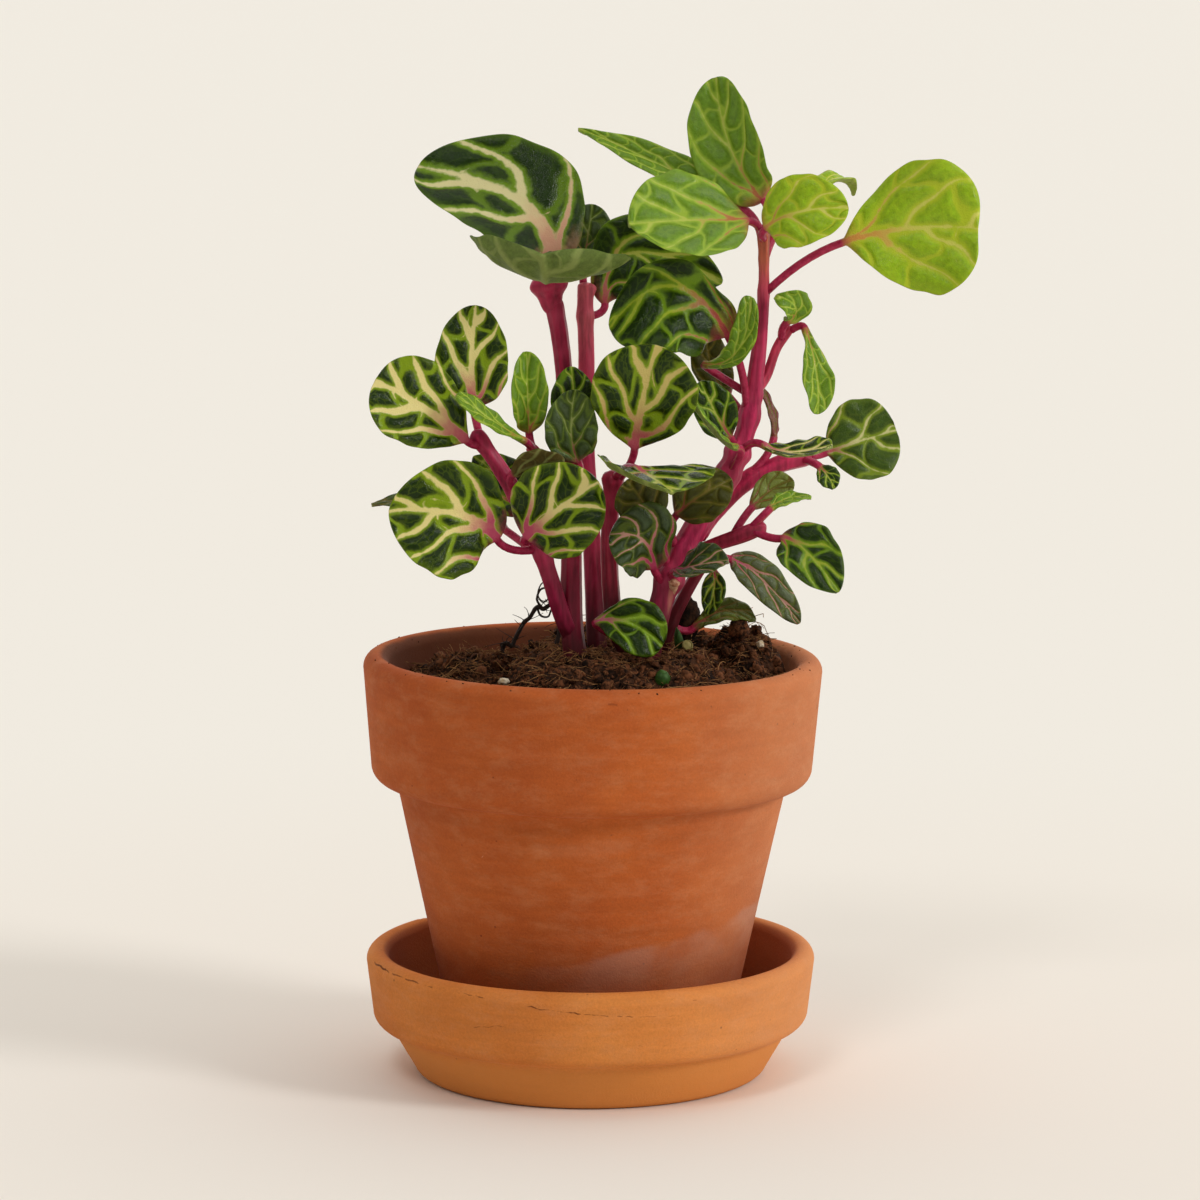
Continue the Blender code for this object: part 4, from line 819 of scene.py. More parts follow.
# Bloodleaf stem: living, watery tissue under a thin waxy skin. The red pigment lies just below the
# skin, so the colour is deep, streaked along the ribs, and paler where the stem is young.
def stemSkin():
    material, add, shader = newMaterial("bloodleafStem", Roughness=0.4, Metallic=0.0, IOR=1.42,
        Subsurface_Weight=0.12, Subsurface_Scale=0.0015, Subsurface_Radius=(1.0, 0.25,
        0.25), Specular_IOR_Level=0.2)
    place = add("TexCoord").outputs["Object"]
    at = add("SeparateXYZ", [place])
    tone = add("Attribute", attribute_name="stemTone")
    rib = add("Attribute", attribute_name="ribWave")
    drawn = add("Mapping", {"Vector": place, "Scale": (1.0, 1.0, 0.12)})
    streaks = add("TexNoise", [drawn, 900.0, 3.0, 0.6])  # streaks 1 mm wide, 9 mm long
    patches = add("TexNoise", [place, 110.0, 3.0])
    light = add("MapRange", [streaks, 0.3, 0.7, 0.62, 1.35])
    ribbed = add("Math MULTIPLY_ADD", [rib.outputs["Fac"], 0.12, light])
    shade = add("VectorMath SCALE", [tone, ribbed])
    ripe = add("MapRange SMOOTHSTEP", [patches, 0.42, 0.68, 0.0, 0.4])
    pinked = add("Mix RGBA", [ripe, shade, linear("#cf4a68")])
    # old skin near the soil turns brown and gathers dirt
    age = add("Math MULTIPLY_ADD", [patches, -0.024, at.outputs["Z"]])
    dirty = add("MapRange SMOOTHSTEP", [age, 0.092, 0.116, 0.9, 0.0])
    soiled = add("Mix RGBA", [dirty, pinked, linear("#4a1c1e")])
    # a dry scar runs down the right trunk from the stub of a lost leaf
    fromScar = add("Mapping", {"Vector": place, "Location": (0.0194, -0.0116, 0.1150),
        "Scale": (1.0, 1.0, 3.6)}, vector_type="TEXTURE")
    away = add("VectorMath LENGTH", [fromScar])
    ragged = add("Math MULTIPLY_ADD", [streaks, 0.0022, away])
    scar = add("MapRange SMOOTHSTEP", [ragged, 0.0019, 0.0026, 0.55, 0.0])
    scarred = add("Mix RGBA", [scar, soiled, linear("#b57360")])
    rough = add("MapRange", {"Value": patches, "To Min": 0.22, "To Max": 0.45})
    bump = add("Bump", {"Strength": 0.5, "Distance": 0.00025, "Height": streaks})
    feed(shader, {"Base Color": scarred, "Roughness": rough, "Normal": bump})
    return material


def stemTree(material):
    tree, add, given = newTree("ribbedStem", {
        "Ribs": ("Float", 6.0), "Rib Depth": ("Float", 0.06), "Round Steps": ("Int", 36),
        "Skin Roughness": ("Float", 0.0002), "Seed": ("Float", 0.0)})
    line = add("GeometryNodeMeshToCurve", [given["Geometry"]])
    girth = add("GeometryNodeInputNamedAttribute", {"Name": "girth"}, data_type="FLOAT")
    sized = add("GeometryNodeSetCurveRadius", {0: line, "Radius": girth})
    ring = add("GeometryNodeCurvePrimitiveCircle", {"Resolution": given["Round Steps"], "Radius": 1.0})
    turn = add("Math DIVIDE", [add("GeometryNodeInputIndex"), given["Round Steps"]])
    angle = add("Math MULTIPLY", [turn, math.tau])
    ribs = add("Math MULTIPLY", [angle, given["Ribs"]])
    wave = add("Math SINE", [ribs])
    deep = add("Math MULTIPLY_ADD", [wave, given["Rib Depth"], 1.0])
    ribbed = add("VectorMath SCALE", [add("GeometryNodeInputPosition"), deep])
    kept = add("GeometryNodeStoreNamedAttribute", {0: ring, "Name": "ribWave", "Value": wave},
        data_type="FLOAT", domain="POINT")
    section = add("GeometryNodeSetPosition", {0: kept, "Position": ribbed})
    tube = add("GeometryNodeCurveToMesh", {0: sized, 1: section, "Scale": girth, "Fill Caps": True})
    skin = add("TexNoise", {"Vector": add("GeometryNodeInputPosition"), "W": given["Seed"], "Scale": 300.0,
        "Detail": 2.0}, noise_dimensions="4D")
    uneven = roughen(add, tube, skin, given["Skin Roughness"])
    welded = add("GeometryNodeMergeByDistance", {0: uneven, "Distance": 0.000005})
    endTree(tree, welded, material)
    return tree


def stemTone(name, z):  # linear colour along a stem
    tone = np.array(linear(stemShape["tones"].get(name, stemShape["tone"])))
    if name in stemShape["fades"]:
        code, share, low, high = stemShape["fades"][name]
        tone = tone + (np.array(linear(code)) - tone) * share * smoothStep(z, low, high)
    return tone


def stemMesh(name, number, tree):
    s = stemShape
    points = [tuple(p) for p in stems[name]]
    if points[0][2] < s["soilReach"]:  # stems that come out of the soil start a little below its surface
        first, second = np.array(points[0]), np.array(points[1])
        under = first.copy()
        under[:3] -= unit((second - first)[:3]) * s["buried"]
        points.insert(0, tuple(under))
    length = sum(math.dist(a[:3], b[:3]) for a, b in zip(points, points[1:]))
    route = smoothRoute(points, max(8, round(length / s["step"])))
    girth = route[:, 3].copy()
    for form in leaves.values():  # a stem swells a little where a leaf stalk leaves it
        if form["stem"] == name:
            girth *= 1 + s["swelling"] * np.exp(-((route[:, 2] - form["height"]) / s["swellingReach"]) ** 2)
    steps = np.linalg.norm(np.diff(route[:, :3], axis=0), axis=1)
    along = np.concatenate([[0], np.cumsum(steps)])
    left = np.minimum(1, np.minimum(along, along[-1] - along) / (girth * s["endRound"]))
    girth = girth * np.maximum(s["endGirth"], np.sqrt(1 - (1 - left) ** 2))  # rounded ends
    line = bpy.data.meshes.new(name)
    line.from_pydata([tuple(p) for p in route[:, :3] * mm], [(i, i + 1) for i in range(len(route) - 1)], [])
    store(line, "girth", girth * mm, "FLOAT", "value")
    tones = np.array([stemTone(name, z) for z in route[:, 2]])
    store(line, "stemTone", tones, "FLOAT_COLOR", "color")
    return grow(name, line, tree, {"Ribs": float(s["ribs"]), "Rib Depth": s["ribDepth"],
                                   "Round Steps": s["roundSteps"], "Skin Roughness": s["skin"] * mm,
                                   "Seed": float(number)})


def nodeName(kind, name):  # the solid that a piece stands for
    return kind + "_" + re.sub("([A-Z])", lambda found: "_" + found.group(1).lower(), name)


ribbedStem = stemTree(stemSkin())
for number, name in enumerate(stems):
    addPiece(name + "Stem", stemMesh(name, number, ribbedStem), None, nodeName("stem", name))
print("stems grown")


def midrib(form):
    return [np.array(form[key], dtype=float) for key in ("base", "middle", "tip")]


def stalkLine(form, steps):  # leaf stalk, from the stem's side to the blade's base
    base, middle, tip = midrib(form)
    bend = 2 * middle - (base + tip) / 2
    node, stemRadius, stemWay = placeOnStem(form["stem"], form["height"])
    hold = base - unit(bend - base) * np.linalg.norm(base - node) * form.get("reach", leafShape["stalkBend"])
    outward = np.array(form["side"], dtype=float) if "side" in form else base - node
    outward = unit(outward - (outward @ stemWay) * stemWay)
    root = node + outward * stemRadius * leafShape["rootedBy"]  # it grows out of the stem
    shares = [i / (steps + 1) for i in range(steps + 1)]
    line = [(1 - t) ** 2 * root + 2 * t * (1 - t) * hold + t * t * base for t in shares]
    ways = [unit(2 * (1 - t) * (hold - root) + 2 * t * (base - hold)) for t in shares]
    return line, ways, [t - 1 for t in shares]


def bladeLine(form, steps):
    s = leafShape
    base, middle, tip = midrib(form)
    bend = 2 * middle - (base + tip) / 2
    chord = unit(tip - base)
    shares = [0.3 * i / steps + 0.7 * (0.5 - 0.5 * math.cos(math.pi * i / steps)) for i in range(steps + 1)]
    line = [(1 - u) ** 2 * base + 2 * u * (1 - u) * bend + u * u * tip for u in shares]
    ways = []
    for u in shares:
        straight = s["straightening"] * min(1.0, u / s["straightBy"])
        own = unit(2 * (1 - u) * (bend - base) + 2 * u * (tip - bend))
        ways.append(unit(own * (1 - straight) + chord * straight))
    return line, ways, shares


# Vein space: a side vein runs at every whole number of order, a cross vein at every whole number of
# step. Depths and widths there are in cells, one cell being the leaf's own gap between side veins.
def veinSpace(form, blade, span, across, size, seed):
    s = leafShape
    drift = s["drift"] * (np.sin(6.3 * blade + 2.7 * span + 5 * seed)
                          + 0.6 * np.sin(12.1 * blade - 4.9 * span + 9 * seed))
    half, rise = form["width"] / 2, s["arch"] * form["length"]
    out = size * across
    order = form["count"] * (blade - s["arch"] * (out / half) ** s["bow"]) + drift + seed % 1
    order = order + np.where(span < 0, s["halfStep"], 0.0)
    steep = s["arch"] * s["bow"] * np.maximum(out / half, 0.05) ** (s["bow"] - 1) / half
    pitch = 1 / (form["count"] * np.hypot(1 / form["length"], steep) * form["cell"])
    step = (out * half + blade * form["length"] * rise) / math.hypot(half, rise) / form["step"]
    step = step + 1.4 * s["drift"] * np.sin(8.3 * blade + 3.9 * span + 3 * seed)
    # veins bend where they meet, so that no two cells are alike
    order, step = order + s["zigzag"] * np.sin(3.4 * step + 4 * seed), step + s["slant"] * np.sin(
        4.1 * order + 2 * seed)
    return order, step, pitch


def softMin(a, b, reach):
    near = np.maximum(reach - np.abs(a - b), 0) / reach
    return np.minimum(a, b) - near ** 3 * reach / 6


def cellDepth(order, step, pitch, middle, blade, across, seed, band):  # how far inside a cell a point is
    s = leafShape
    side = np.abs(order - np.round(order)) * pitch - band * (s["sideBand"] - s["sideTaper"] * across)
    mid = middle - band * (s["midBand"] - s["midTaper"] * blade)
    shift = 0.5 * np.sin(2.4 * np.floor(order) + 5 * seed)
    cross = np.abs(step + shift - np.round(step + shift)) * s["cellLength"] - band * s["crossBand"]
    return softMin(softMin(mid, side, 0.2), cross, 0.25)


# upper and lower points across one section, and its vein values
def leafRow(form, centre, way, u, span, seed):
    s = leafShape
    up = unit(np.array(form["face"], dtype=float))
    up = unit(up - (up @ way) * way)
    side = np.cross(way, up)
    blade = max(u, 0.0)
    spread = float(smoothStep(blade, 0, s["flatBy"]))
    growth, fall = outlines[form["outline"]]
    widest = growth / (growth + fall)
    peak = widest ** growth * (1 - widest) ** fall
    halfWidth = form["width"] / 2 * blade ** growth * (1 - blade) ** fall / peak
    reach = math.hypot(halfWidth, s["stalkRadius"] * (1 - spread))
    across, hand = np.abs(span), np.where(span < 0, -1.0, 1.0)
    left = form.get("left", 0.5)
    size = reach * (1 + (2 * np.where(span < 0, left, 1 - left) - 1) * spread)
    # the margin is never a ruled curve
    ragged = (np.sin(blade * 17 + seed * 3.1 + hand) * 0.5 + np.sin(blade * 31 + seed * 1.7 - hand * 2) * 0.3)
    size = size * (1 + s["marginWander"] * ragged * spread)
    cup = np.maximum(np.radians(np.where(span < 0, form["cup"][0], form["cup"][1])) * spread, 0.001)
    fold = math.radians(form.get("fold", 0)) * spread
    out = size * np.sin(cup * across) / cup
    rise = size * (1 - np.cos(cup * across)) / cup
    out, rise = out * math.cos(fold) - rise * math.sin(fold), out * math.sin(fold) + rise * math.cos(fold)
    ripple = form.get("wave", 0) * across ** 2 * np.sin(9 * blade + np.where(span < 0, 2, 0)) * spread
    ripple = ripple + s["marginRipple"] * across ** 4 * np.sin(blade * 21 + seed * 2.3 + hand * 1.3) * spread
    place = centre + np.outer(out * hand, side) + np.outer(rise + ripple, up)
    if form.get("notch") and blade > s["notchFrom"]:
        inwards = (blade - s["notchFrom"]) / (1 - s["notchFrom"])
        depth = inwards ** 2 * np.exp(-(out / (s["notchSpread"] * form["width"])) ** 2)
        place = place - np.outer(form["notch"] * depth, way)
    middle = size * across / form["cell"]
    order, step, pitch = veinSpace(form, blade, span, across, size, seed)
    depth = cellDepth(order, step, pitch, middle, blade, across, seed, form["band"])
    groove = np.exp(-(size * across / s["midribWidth"]) ** 2)
    dome = smoothStep(depth, 0, 0.3) * (1 - across ** 6) * min(1.0, form["cell"] / 5)
    relief = (s["quilting"] * dome - s["midribDepth"] * groove) * spread
    slope = fold + cup * across
    normal = np.outer(np.cos(slope), up) - np.outer(np.sin(slope) * hand, side)
    stalkHalf = s["stalkRadius"] * np.sqrt(np.maximum(0, 1 - across ** 2))
    bladeHalf = s["thickness"] / 2 * (1 - across ** 10) * (1 + s["midribSwell"] * groove)
    half = stalkHalf * (1 - spread) + bladeHalf * spread
    upper = place + normal * (relief + half)[:, None]
    lower = place + normal * (relief - half)[:, None]
    reading = np.stack([middle, np.full_like(middle, u), pitch], axis=1)
    return upper, lower, reading, np.stack([order, step], axis=1)


def leafMesh(name, form, seed):
    s = leafShape
    base, middle, tip = midrib(form)
    length = math.dist(base, middle) + math.dist(middle, tip)
    skin = dict(skins[form["skin"]], **form.get("paint", {}))
    count = skin["veins"]
    cell = 1 / (count * math.hypot(1 / length, 2 * s["arch"] / form["width"]))
    step = s["cellLength"] * cell
    form = dict(form, length=length, count=count, cell=cell, step=step, band=skin["band"])
    rows = int(np.clip(form["length"] / s["grain"], 18, 90))
    columns = int(np.clip(form["width"] / s["grain"], 12, 74)) // 2 * 2 + 1
    even = np.linspace(-1, 1, columns)
    span = 0.7 * even + 0.3 * np.sin(math.pi / 2 * even)
    line, ways, shares = (a + b for a, b in zip(stalkLine(form, s["stalkSteps"]), bladeLine(form, rows)))
    points, readings, forms, orders, sides = [], [], [], [], []
    for centre, way, u in list(zip(line, ways, shares))[:-1]:
        upper, lower, reading, order = leafRow(form, centre, way, u, span, seed)
        for sheet, under in ((upper, 0.0), (lower[-2:0:-1], 1.0)):
            pick = slice(None) if under == 0 else slice(-2, 0, -1)
            points.append(sheet)
            readings.append(reading[pick])
            forms.append(np.stack([np.abs(span)[pick], np.full(len(sheet), under), np.full(len(sheet), seed)],
                1))
            orders.append(order[pick])
            sides.append(span[pick])
    points.append(np.array([tip - unit(tip - middle) * form.get("notch", 0)]))
    readings.append(np.array([[0.0, 1.0, 1.0]]))
    forms.append(np.array([[0.0, 0.5, seed]]))
    orders.append(orders[-2][columns // 2][None])
    sides.append(np.zeros(1))
    points, readings, forms, orders, sides = (np.concatenate(part) for part in
                                              (points, readings, forms, orders, sides))
    ring, count = 2 * columns - 2, len(shares) - 1
    faces = [tuple(range(ring))]
    for row in range(count - 1):
        a = row * ring
        faces += [(a + i, a + (i + 1) % ring, a + ring + (i + 1) % ring, a + ring + i) for i in range(ring)]
    last = (count - 1) * ring
    faces += [(last + i, last + (i + 1) % ring, len(points) - 1) for i in range(ring)]
    mesh = meshFrom(name, points, faces)
    store(mesh, "leafPlace", readings)
    store(mesh, "leafForm", forms)
    look = np.tile([skin["band"], skin["net"], skin["paintedSheen"]], (len(points), 1))
    store(mesh, "leafLook", look)
    for key in ("cell", "halo", "vein", "foot", "under"):
        tone = np.tile(linear(skin[key]), (len(points), 1))
        store(mesh, key + "Tone", tone, "FLOAT_COLOR", "color")
    veins = mesh.uv_layers.new(name="veins")
    vertexOf = np.zeros(len(mesh.loops), dtype=int)
    mesh.loops.foreach_get("vertex_index", vertexOf)
    corner = orders[vertexOf]
    starts = np.zeros(len(mesh.polygons), dtype=int)
    mesh.polygons.foreach_get("loop_start", starts)
    totals = np.zeros(len(mesh.polygons), dtype=int)
    mesh.polygons.foreach_get("loop_total", totals)
    ofFace = np.repeat(np.arange(len(starts)), totals)
    faceSide = np.add.reduceat(sides[vertexOf], starts)
    onMidrib = np.isclose(sides[vertexOf], 0)
    # the two halves number their veins apart, so each half keeps its own count at the midrib
    corner[:, 0] += np.where(onMidrib & (faceSide[ofFace] < 0), s["halfStep"], 0.0)
    veins.data.foreach_set("uv", corner.ravel())
    return mesh


# Bloodleaf blade: thin, slightly waxy leaf. Chlorophyll fills the cells between the veins, the veins
# themselves hold none, and the red pigment gathers at the stalk end. A wet looking top, a matt back.
def leafSkin():
    s = leafShape
    material, add, shader = newMaterial("bloodleafBlade", Metallic=0.0, IOR=1.45, Subsurface_Weight=0.06,
        Subsurface_Scale=0.001, Subsurface_Radius=(0.6, 1.0, 0.2), Specular_IOR_Level=0.2)
    place = add("TexCoord").outputs["Object"]
    read = {key: add("Attribute", attribute_name=key)
            for key in ("leafPlace", "leafForm", "leafLook", "cellTone", "haloTone", "veinTone", "footTone",
                        "underTone")}
    middle, along, pitch = add("SeparateXYZ", [read["leafPlace"].outputs["Vector"]]).outputs
    across, under, seed = add("SeparateXYZ", [read["leafForm"].outputs["Vector"]]).outputs
    band, net, paintedSheen = add("SeparateXYZ", [read["leafLook"].outputs["Vector"]]).outputs
    veinMap = add("UVMap", uv_map="veins")
    order, step, _ = add("SeparateXYZ", [veinMap]).outputs
    soft = add("TexNoise", [place, 520.0, 3.0])
    wander = add("Math SUBTRACT", [soft, 0.5])
    # half the width of the midrib band and of the side bands, in cells
    midTaper = add("Math MULTIPLY_ADD", [along, -s["midTaper"], s["midBand"]])
    midWidth = add("Math MULTIPLY", [midTaper, band])
    sideTaper = add("Math MULTIPLY_ADD", [across, -s["sideTaper"], s["sideBand"]])
    sideWidth = add("Math MULTIPLY", [sideTaper, band])
    # depth inside the cells: past the midrib, the side veins and the cross veins
    midPast = add("Math SUBTRACT", [middle, midWidth])
    fold = add("Math PINGPONG", [order, 0.5])
    sidePast = add("Math MULTIPLY", [fold, pitch])
    sidePast = add("Math SUBTRACT", [sidePast, sideWidth])
    bandDepth = add("Math SMOOTH_MIN", [midPast, sidePast, 0.2])
    bandDepth = add("Math MULTIPLY_ADD", [wander, 0.16, bandDepth])
    row = add("Math FLOOR", [order])
    phase = add("Math MULTIPLY", [seed, 5.0])
    phase = add("Math MULTIPLY_ADD", [row, 2.4, phase])
    shift = add("Math SINE", [phase])
    shifted = add("Math MULTIPLY_ADD", [shift, 0.5, step])
    crossFold = add("Math PINGPONG", [shifted, 0.5])
    crossWidth = add("Math MULTIPLY", [band, -s["crossBand"]])
    crossPast = add("Math MULTIPLY_ADD", [crossFold, s["cellLength"], crossWidth])
    crossPast = add("Math MULTIPLY_ADD", [wander, 0.2, crossPast])
    depth = add("Math SMOOTH_MIN", [bandDepth, crossPast, 0.25])
    # near the midrib the cross veins are as pale as the side veins, further out they fade
    lifted = add("Math MULTIPLY_ADD", [across, 0.3, crossPast])
    paleDepth = add("Math SMOOTH_MIN", [bandDepth, lifted, 0.1])
    # threads: the finest veins, a net of islands inside each cell
    threadPlace = add("CombineXYZ", [order, step, seed])
    warp = add("VectorMath MULTIPLY_ADD", [soft.outputs["Color"], (0.3, 0.3, 0.0), threadPlace])
    islands = add("TexVoronoi", {"Vector": warp, "Scale": 3.4, "Randomness": 0.9}, feature="DISTANCE_TO_EDGE")
    threads = add("MapRange SMOOTHSTEP", [islands, 0.01, 0.12, 0.14, 0.0])
    # colour, from the middle of a cell out to the vein
    mottle = add("TexNoise", [place, 750.0, 4.0, 0.65])
    # painted sheen: cell centres are painted greyer, standing in for the reflection on the domed cell tops
    paintedSheenAt = add("MapRange SMOOTHSTEP", [depth, 0.16, 0.36])
    grey = add("Math MULTIPLY", [paintedSheenAt, paintedSheen])
    paled = add("Mix RGBA", [grey, read["cellTone"], linear("#5f6e55")])
    tone = add("MapRange", [mottle, 0.3, 0.7, 0.76, 1.2])
    cell = add("VectorMath SCALE", [paled, tone])
    rich = add("Mix RGBA", [0.5, read["cellTone"], read["haloTone"]])
    richAt = add("MapRange SMOOTHSTEP", [depth, 0.04, 0.16, 0.6, 0.0])
    marginAt = add("MapRange SMOOTHSTEP", [across, 0.82, 0.97, 0.0, 0.4])
    richAll = add("Math MAXIMUM", [richAt, marginAt])
    greened = add("Mix RGBA", [richAll, cell, rich])
    bandHalo = add("MapRange SMOOTHSTEP", [bandDepth, 0.0, 0.16, 1.0, 0.0])
    netHalo = add("MapRange SMOOTHSTEP", [depth, 0.0, 0.1, 1.0, 0.0])
    netLines = add("Math MAXIMUM", [netHalo, threads])
    lines = add("Math MULTIPLY", [netLines, net])
    haloAll = add("Math MAXIMUM", [bandHalo, lines])
    haloed = add("Mix RGBA", [haloAll, greened, read["haloTone"]])
    veinAt = add("MapRange SMOOTHSTEP", [paleDepth, -0.045, 0.025, 1.0, 0.0])
    veined = add("Mix RGBA", [veinAt, haloed, read["veinTone"]])
    # the stalk end: pigment runs out along the veins and stains the cells only a little
    nearFoot = add("Math MULTIPLY_ADD", [wander, 0.2, along])
    footVein = add("MapRange SMOOTHSTEP", [nearFoot, 0.08, 0.56, 0.95, 0.0])
    footCell = add("MapRange SMOOTHSTEP", [nearFoot, 0.0, 0.15, 0.4, 0.0])
    footShare = add("Math MULTIPLY", [footVein, veinAt])
    footShare = add("Math MAXIMUM", [footShare, footCell])
    footed = add("Mix RGBA", [footShare, veined, read["footTone"]])
    stalkAt = add("MapRange SMOOTHSTEP", [along, -0.05, 0.07, 1.0, 0.0])
    streaks = add("MapRange", [mottle, 0.3, 0.7, 0.0, 1.0])
    stalk = add("Mix RGBA", [streaks, linear("#93193c"), linear("#b93558")])
    stalked = add("Mix RGBA", [stalkAt, footed, stalk])
    rimAt = add("MapRange SMOOTHSTEP", [across, 0.97, 1.0, 0.0, 0.35])
    rimmed = add("Mix RGBA", [rimAt, stalked, read["haloTone"]])
    # the back: a dull, mottled tone with the veins showing through, paler
    backVein = add("Math MULTIPLY", [haloAll, 0.42])
    backShade = add("VectorMath SCALE", [read["underTone"], tone])
    back = add("Mix RGBA", [backVein, backShade, linear("#9fa860")])
    backStalk = add("Mix RGBA", [stalkAt, back, stalk])
    whole = add("Mix RGBA", [under, rimmed, backStalk])
    # gloss: waxy on top, broken by the texture of single cells about 0.3 mm across
    skinCells = add("TexVoronoi", {"Vector": place, "Scale": 3000.0}, feature="F1")
    gloss = add("MapRange", [mottle, 0.3, 0.7, 0.11, 0.27])
    rough = add("Mix FLOAT", [under, gloss, 0.62])
    domed = add("MapRange SMOOTHSTEP", [depth, -0.02, 0.2, 0.0, 0.9])
    sunk = add("Math MULTIPLY_ADD", [mottle, 0.7, domed])
    height = add("Math MULTIPLY_ADD", [skinCells, -0.45, sunk])
    bump = add("Bump", {"Strength": 0.55, "Distance": 0.0003, "Height": height})
    feed(shader, {"Base Color": whole, "Roughness": rough, "Normal": bump})
    return material


bladeSkin = leafSkin()
for number, (name, form) in enumerate(leaves.items()):
    addPiece(name + "Leaf", leafMesh(name, form, 0.37 + number * 1.618), bladeSkin, nodeName("leaf", name))
print("leaves grown")

# Dry root: a dead, wiry aerial root, almost black, that loops out of the soil beside the left trunk
rootShape = {"route": [(-21.5, 6, 0.9), (-20.4, 5.4, 4.2), (-19, 5, 5), (-17.8, 4, 6.8), (-16, 3.5, 8.6),
    (-14.6, 3, 8.1),
                       (-12.8, 2.6, 9.5), (-11.3, 2, 8.9), (-9.2, 1.5, 10.2), (-7.6, 1, 8.6), (-7.4, 0.4,
                           4), (-8.2,
                           0, 0.6)],
             "curls": [[(-11.3, 2, 8.9), (-12.8, 1.4, 11), (-12, 1, 13.6), (-10.4, 1.2, 14), (-9.8, 1.6, 12),
                        (-11.4, 1.8, 10.6), (-12.6, 1.2, 12.4), (-11.4, 0.8, 15.4), (-9, 1, 13.6)],
                       [(-12.8, 2.6, 9.5), (-12, 3, 7.4), (-10.2, 2.4, 7), (-9.4, 2, 8.8), (-8.4, 1.6, 11.4),
                           (-9.6, 1.2, 12.4)],
                       [(-20.4, 5.4, 4.2), (-21.6, 5, 2.6), (-20.6, 4.4, 1.2)],
                       [(-17.8, 4, 6.8), (-18.8, 3.4, 4.8), (-17.4, 3, 3.4)]],
             "radius": 0.52, "curlRadius": 0.3, "steps": 90, "sides": 8, "hairs": 26, "hairRadius": 0.12}


def tube(points, radii, sides):
    points = np.array(points, dtype=float)
    ways = np.gradient(points, axis=0)
    ways /= np.linalg.norm(ways, axis=1)[:, None]
    spots, faces = [], []
    across = unit(np.cross(ways[0], (0.31, 0.83, 0.47)))
    for i, (point, way) in enumerate(zip(points, ways)):
        across = unit(across - (across @ way) * way)
        other = np.cross(way, across)
        for k in range(sides):
            a = math.tau * k / sides
            spots.append(point + (across * math.cos(a) + other * math.sin(a)) * radii[i])
        if i:
            start = (i - 1) * sides
            faces += [(start + k, start + (k + 1) % sides, start + sides + (k + 1) % sides, start + sides + k)
                      for k in range(sides)]
    faces += [tuple(range(sides)), tuple(range(len(spots) - sides, len(spots)))]
    return spots, faces


def addTube(spots, faces, more, moreFaces):
    faces += [tuple(i + len(spots) for i in face) for face in moreFaces]
    spots += more


def rootMesh():
    s = rootShape
    chance = random.Random(4)
    line = smoothRoute([(x, y, soilHeight(x, y) + 0.7 + rise) for x, y, rise in s["route"]], s["steps"])
    radii = [s["radius"] * (1 + 0.35 * noise.noise((i * 0.4, 0.2, 5.0))) for i in range(len(line))]
    spots, faces = tube(line, radii, s["sides"])
    for curl in s["curls"]:
        loop = smoothRoute([(x, y, soilHeight(x, y) + 0.7 + rise) for x, y, rise in curl], s["steps"])
        addTube(spots, faces, *tube(loop, np.linspace(s["curlRadius"], s["curlRadius"] * 0.5, len(loop)),
            s["sides"]))
    for _ in range(s["hairs"]):
        start = line[chance.randrange(4, len(line) - 6)]
        way = unit(np.array([chance.uniform(-1, 1), chance.uniform(-1, 0.4), chance.uniform(-0.2, 1)]))
        curl = unit(np.array([chance.uniform(-1, 1), chance.uniform(-1, 1), chance.uniform(-1, 0.5)]))
        length = chance.uniform(2.0, 5.0)
        hair = [start + way * length * t + curl * length * 0.5 * t * t for t in np.linspace(0, 1, 8)]
        hair = [p for p in hair if math.hypot(p[0], p[1]) < 44]
        if len(hair) < 3:
            continue
        addTube(spots, faces, *tube(hair, np.linspace(s["hairRadius"], s["hairRadius"] * 0.5, len(hair)), 5))
    return meshFrom("dryRoot", spots, faces)


# Dead root bark: corky and matt, dark brown
def rootBark():
    material, add, shader = newMaterial("deadRootBark", Roughness=0.85, Metallic=0.0)
    place = add("TexCoord").outputs["Object"]
    flecks = add("TexNoise", [place, 1100.0, 3.0])
    colour = add("Mix RGBA", [flecks, linear("#120b08"), linear("#3a2619")])
    bump = add("Bump", {"Strength": 0.6, "Distance": 0.0002, "Height": flecks})
    feed(shader, {"Base Color": colour, "Normal": bump})
    return material


addPiece("dryRoot", rootMesh(), rootBark(), "dry_root")

# Young shoots and the stub of a lost leaf stalk: soft green or dried tan plant tissue, faintly streaked
def youngTissue(name, light, dark):
    material, add, shader = newMaterial(name, Roughness=0.5, Metallic=0.0, IOR=1.42, Specular_IOR_Level=0.3)
    place = add("TexCoord").outputs["Object"]
    streaks = add("TexNoise", [place, 900.0, 4.0])
    blend = add("MapRange", [streaks, 0.35, 0.65])
    colour = add("Mix RGBA", [blend, linear(dark), linear(light)])
    bump = add("Bump", {"Strength": 0.4, "Distance": 0.0002, "Height": streaks})
    feed(shader, {"Base Color": colour, "Normal": bump})
    return material


greenShoot, paleShoot = youngTissue("greenShoot", "#3f6424", "#24400f"), youngTissue("paleShoot", "#b9ab6c",
    "#8c8446")
driedTissue = youngTissue("driedTissue", "#d2a685", "#93573a")
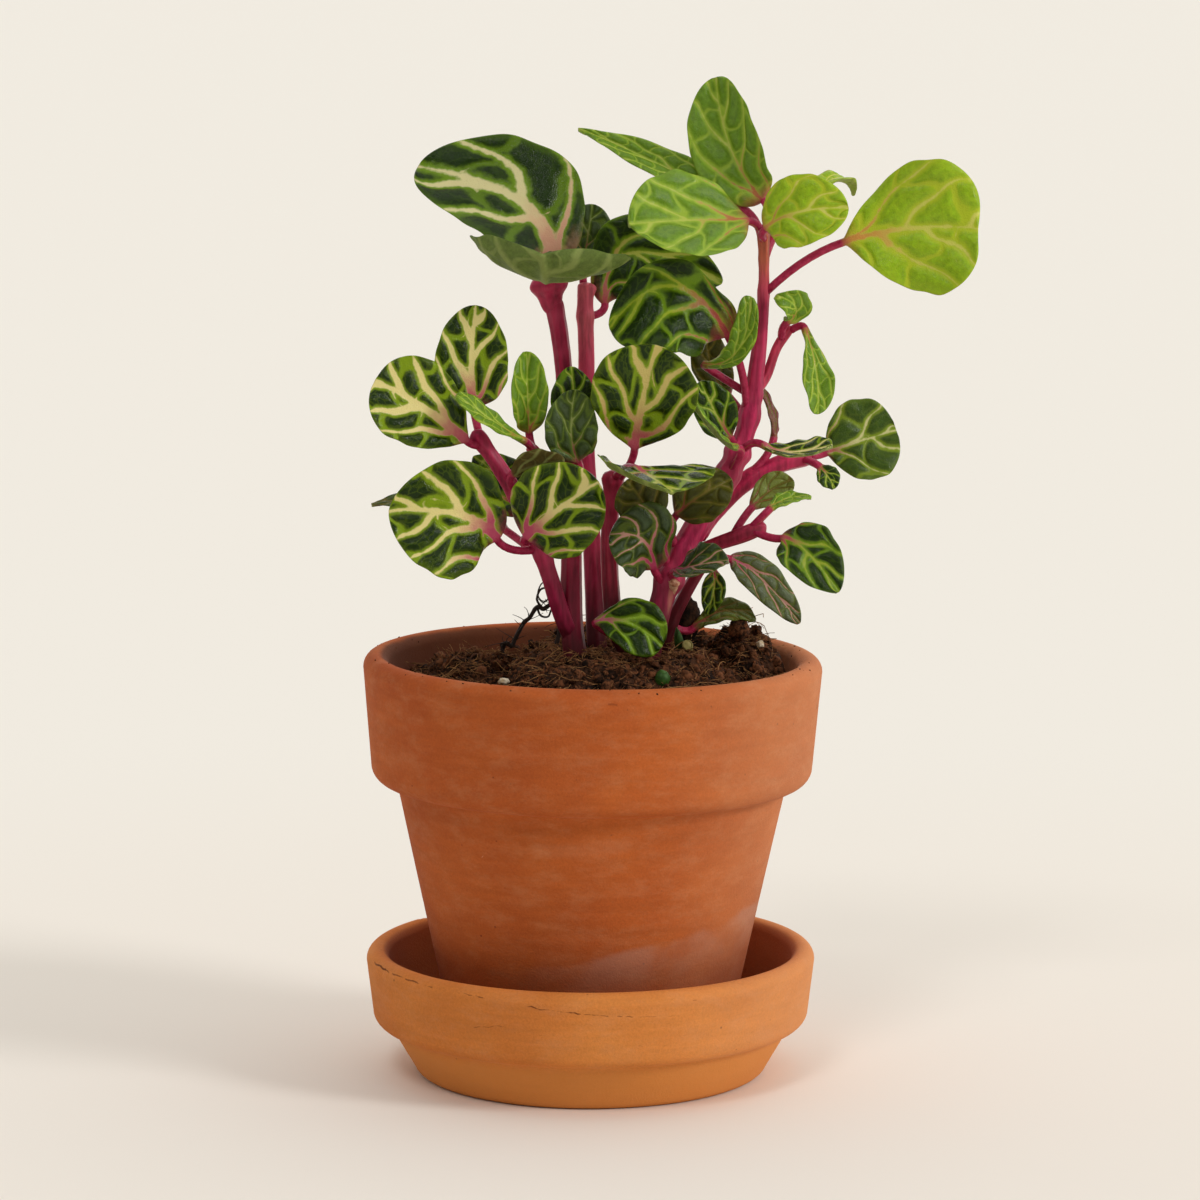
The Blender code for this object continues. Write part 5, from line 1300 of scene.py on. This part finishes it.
# each young piece: what it is made of, its centre line and the radius at each point
shoots = {"sproutBall": (greenShoot,
    [(17, -21, 97, 1.2), (17, -21.4, 98.4, 1.8), (17, -21.7, 99.6, 1.8), (17.1, -22, 100.7, 1.1),
                                      (17.2, -22.1, 101, 0.3)]),
          "sproutBlade": (greenShoot, [(21.6, 1, 101.6, 0.9), (21.3, 0.6, 104, 1.15), (20.9, 0.2, 106.4, 0.8),
              (20.6, 0, 108, 0.12)]),
          "cutSprout": (paleShoot, [(23.6, 3.4, 102.4, 1.1), (23.4, 1, 103.3, 1.2), (23.2, -1.6, 103.9, 1.3),
              (23.2, -2.0, 104, 0.9)]),
          "stalkStub": (driedTissue, [(18.9, -9.6, 117.6, 1.2), (19.4, -10.8, 119.2, 1.3),
              (19.7, -11.5, 120.2, 1.3),
                                      (19.9, -11.9, 120.7, 1.4), (19.9, -11.9, 120.75, 0.6)])}
for name, (tissue, points) in shoots.items():
    route = smoothRoute(points, 24)
    spots, faces = tube(route[:, :3], np.maximum(route[:, 3], 0.1), 16)
    addPiece(name, meshFrom(name, spots, faces), tissue, None)
print("root placed")

# Studio: a pale paper floor, a soft key light low on the right, a window high on the left, and light
# all round that is stronger from the right, from above and from behind
studio = {"floorReach": 30.0, "near": "#efe9e0", "far": "#f0ece4", "nearBy": (0.17, 0.5),
          "keyFrom": (0.79, -0.4, 0.45), "keyStrength": 1.14, "keyDegrees": 15.0,
          "windowFrom": (-0.22, -0.6, 0.75), "windowStrength": 0.5, "windowDegrees": 15.0,
          "room": "#fffcf7", "roomStrength": 0.636, "roomLean": (0.35, 0.72, 0.2)}
reach = studio["floorReach"]
floorMesh = bpy.data.meshes.new("studioFloor")
floorMesh.from_pydata([(-reach, -reach, 0), (reach, -reach, 0), (reach, reach, 0), (-reach, reach, 0)], [],
    [(0, 1, 2, 3)])
# Seamless paper: matt and faintly warm, with painted shade that makes it a touch darker near the pot
paper, addPaper, paperShader = newMaterial("seamlessPaper", Roughness=0.9, Metallic=0.0,
    Specular_IOR_Level=0.1)
fromPot = addPaper("VectorMath LENGTH", [addPaper("TexCoord").outputs["Object"]])
paintedShadeFade = addPaper("MapRange SMOOTHSTEP", [fromPot, studio["nearBy"][0], studio["nearBy"][1]])
sheet = addPaper("Mix RGBA", [paintedShadeFade, linear(studio["near"]), linear(studio["far"])])
feed(paperShader, {"Base Color": sheet})
floor = bpy.data.objects.new("studioFloor", floorMesh)
floor.data.materials.append(paper)
bpy.context.scene.collection.objects.link(floor)

for name in ("key", "window"):  # the window gives the leaves their sheen from the upper left
    lampData = bpy.data.lights.new(name + "Light", "SUN")
    lampData.energy, lampData.angle = studio[name + "Strength"], math.radians(studio[name + "Degrees"])
    lamp = bpy.data.objects.new(name + "Light", lampData)
    lamp.rotation_euler = Vector(studio[name + "From"]).to_track_quat("Z", "Y").to_euler()
    bpy.context.scene.collection.objects.link(lamp)
room = bpy.data.worlds.new("studioRoom")
room.use_nodes = True
addRoom = partial(addNode, room.node_tree)
roomShader = room.node_tree.nodes["Background"]
roomShader.inputs["Color"].default_value = linear(studio["room"])
side = addRoom("VectorMath DOT_PRODUCT", [addRoom("TexCoord").outputs["Generated"], studio["roomLean"]])
strength = addRoom("Math MULTIPLY_ADD", [side, studio["roomStrength"], studio["roomStrength"]])
feed(roomShader, {"Strength": strength})
bpy.context.scene.world = room
print("studio lit")
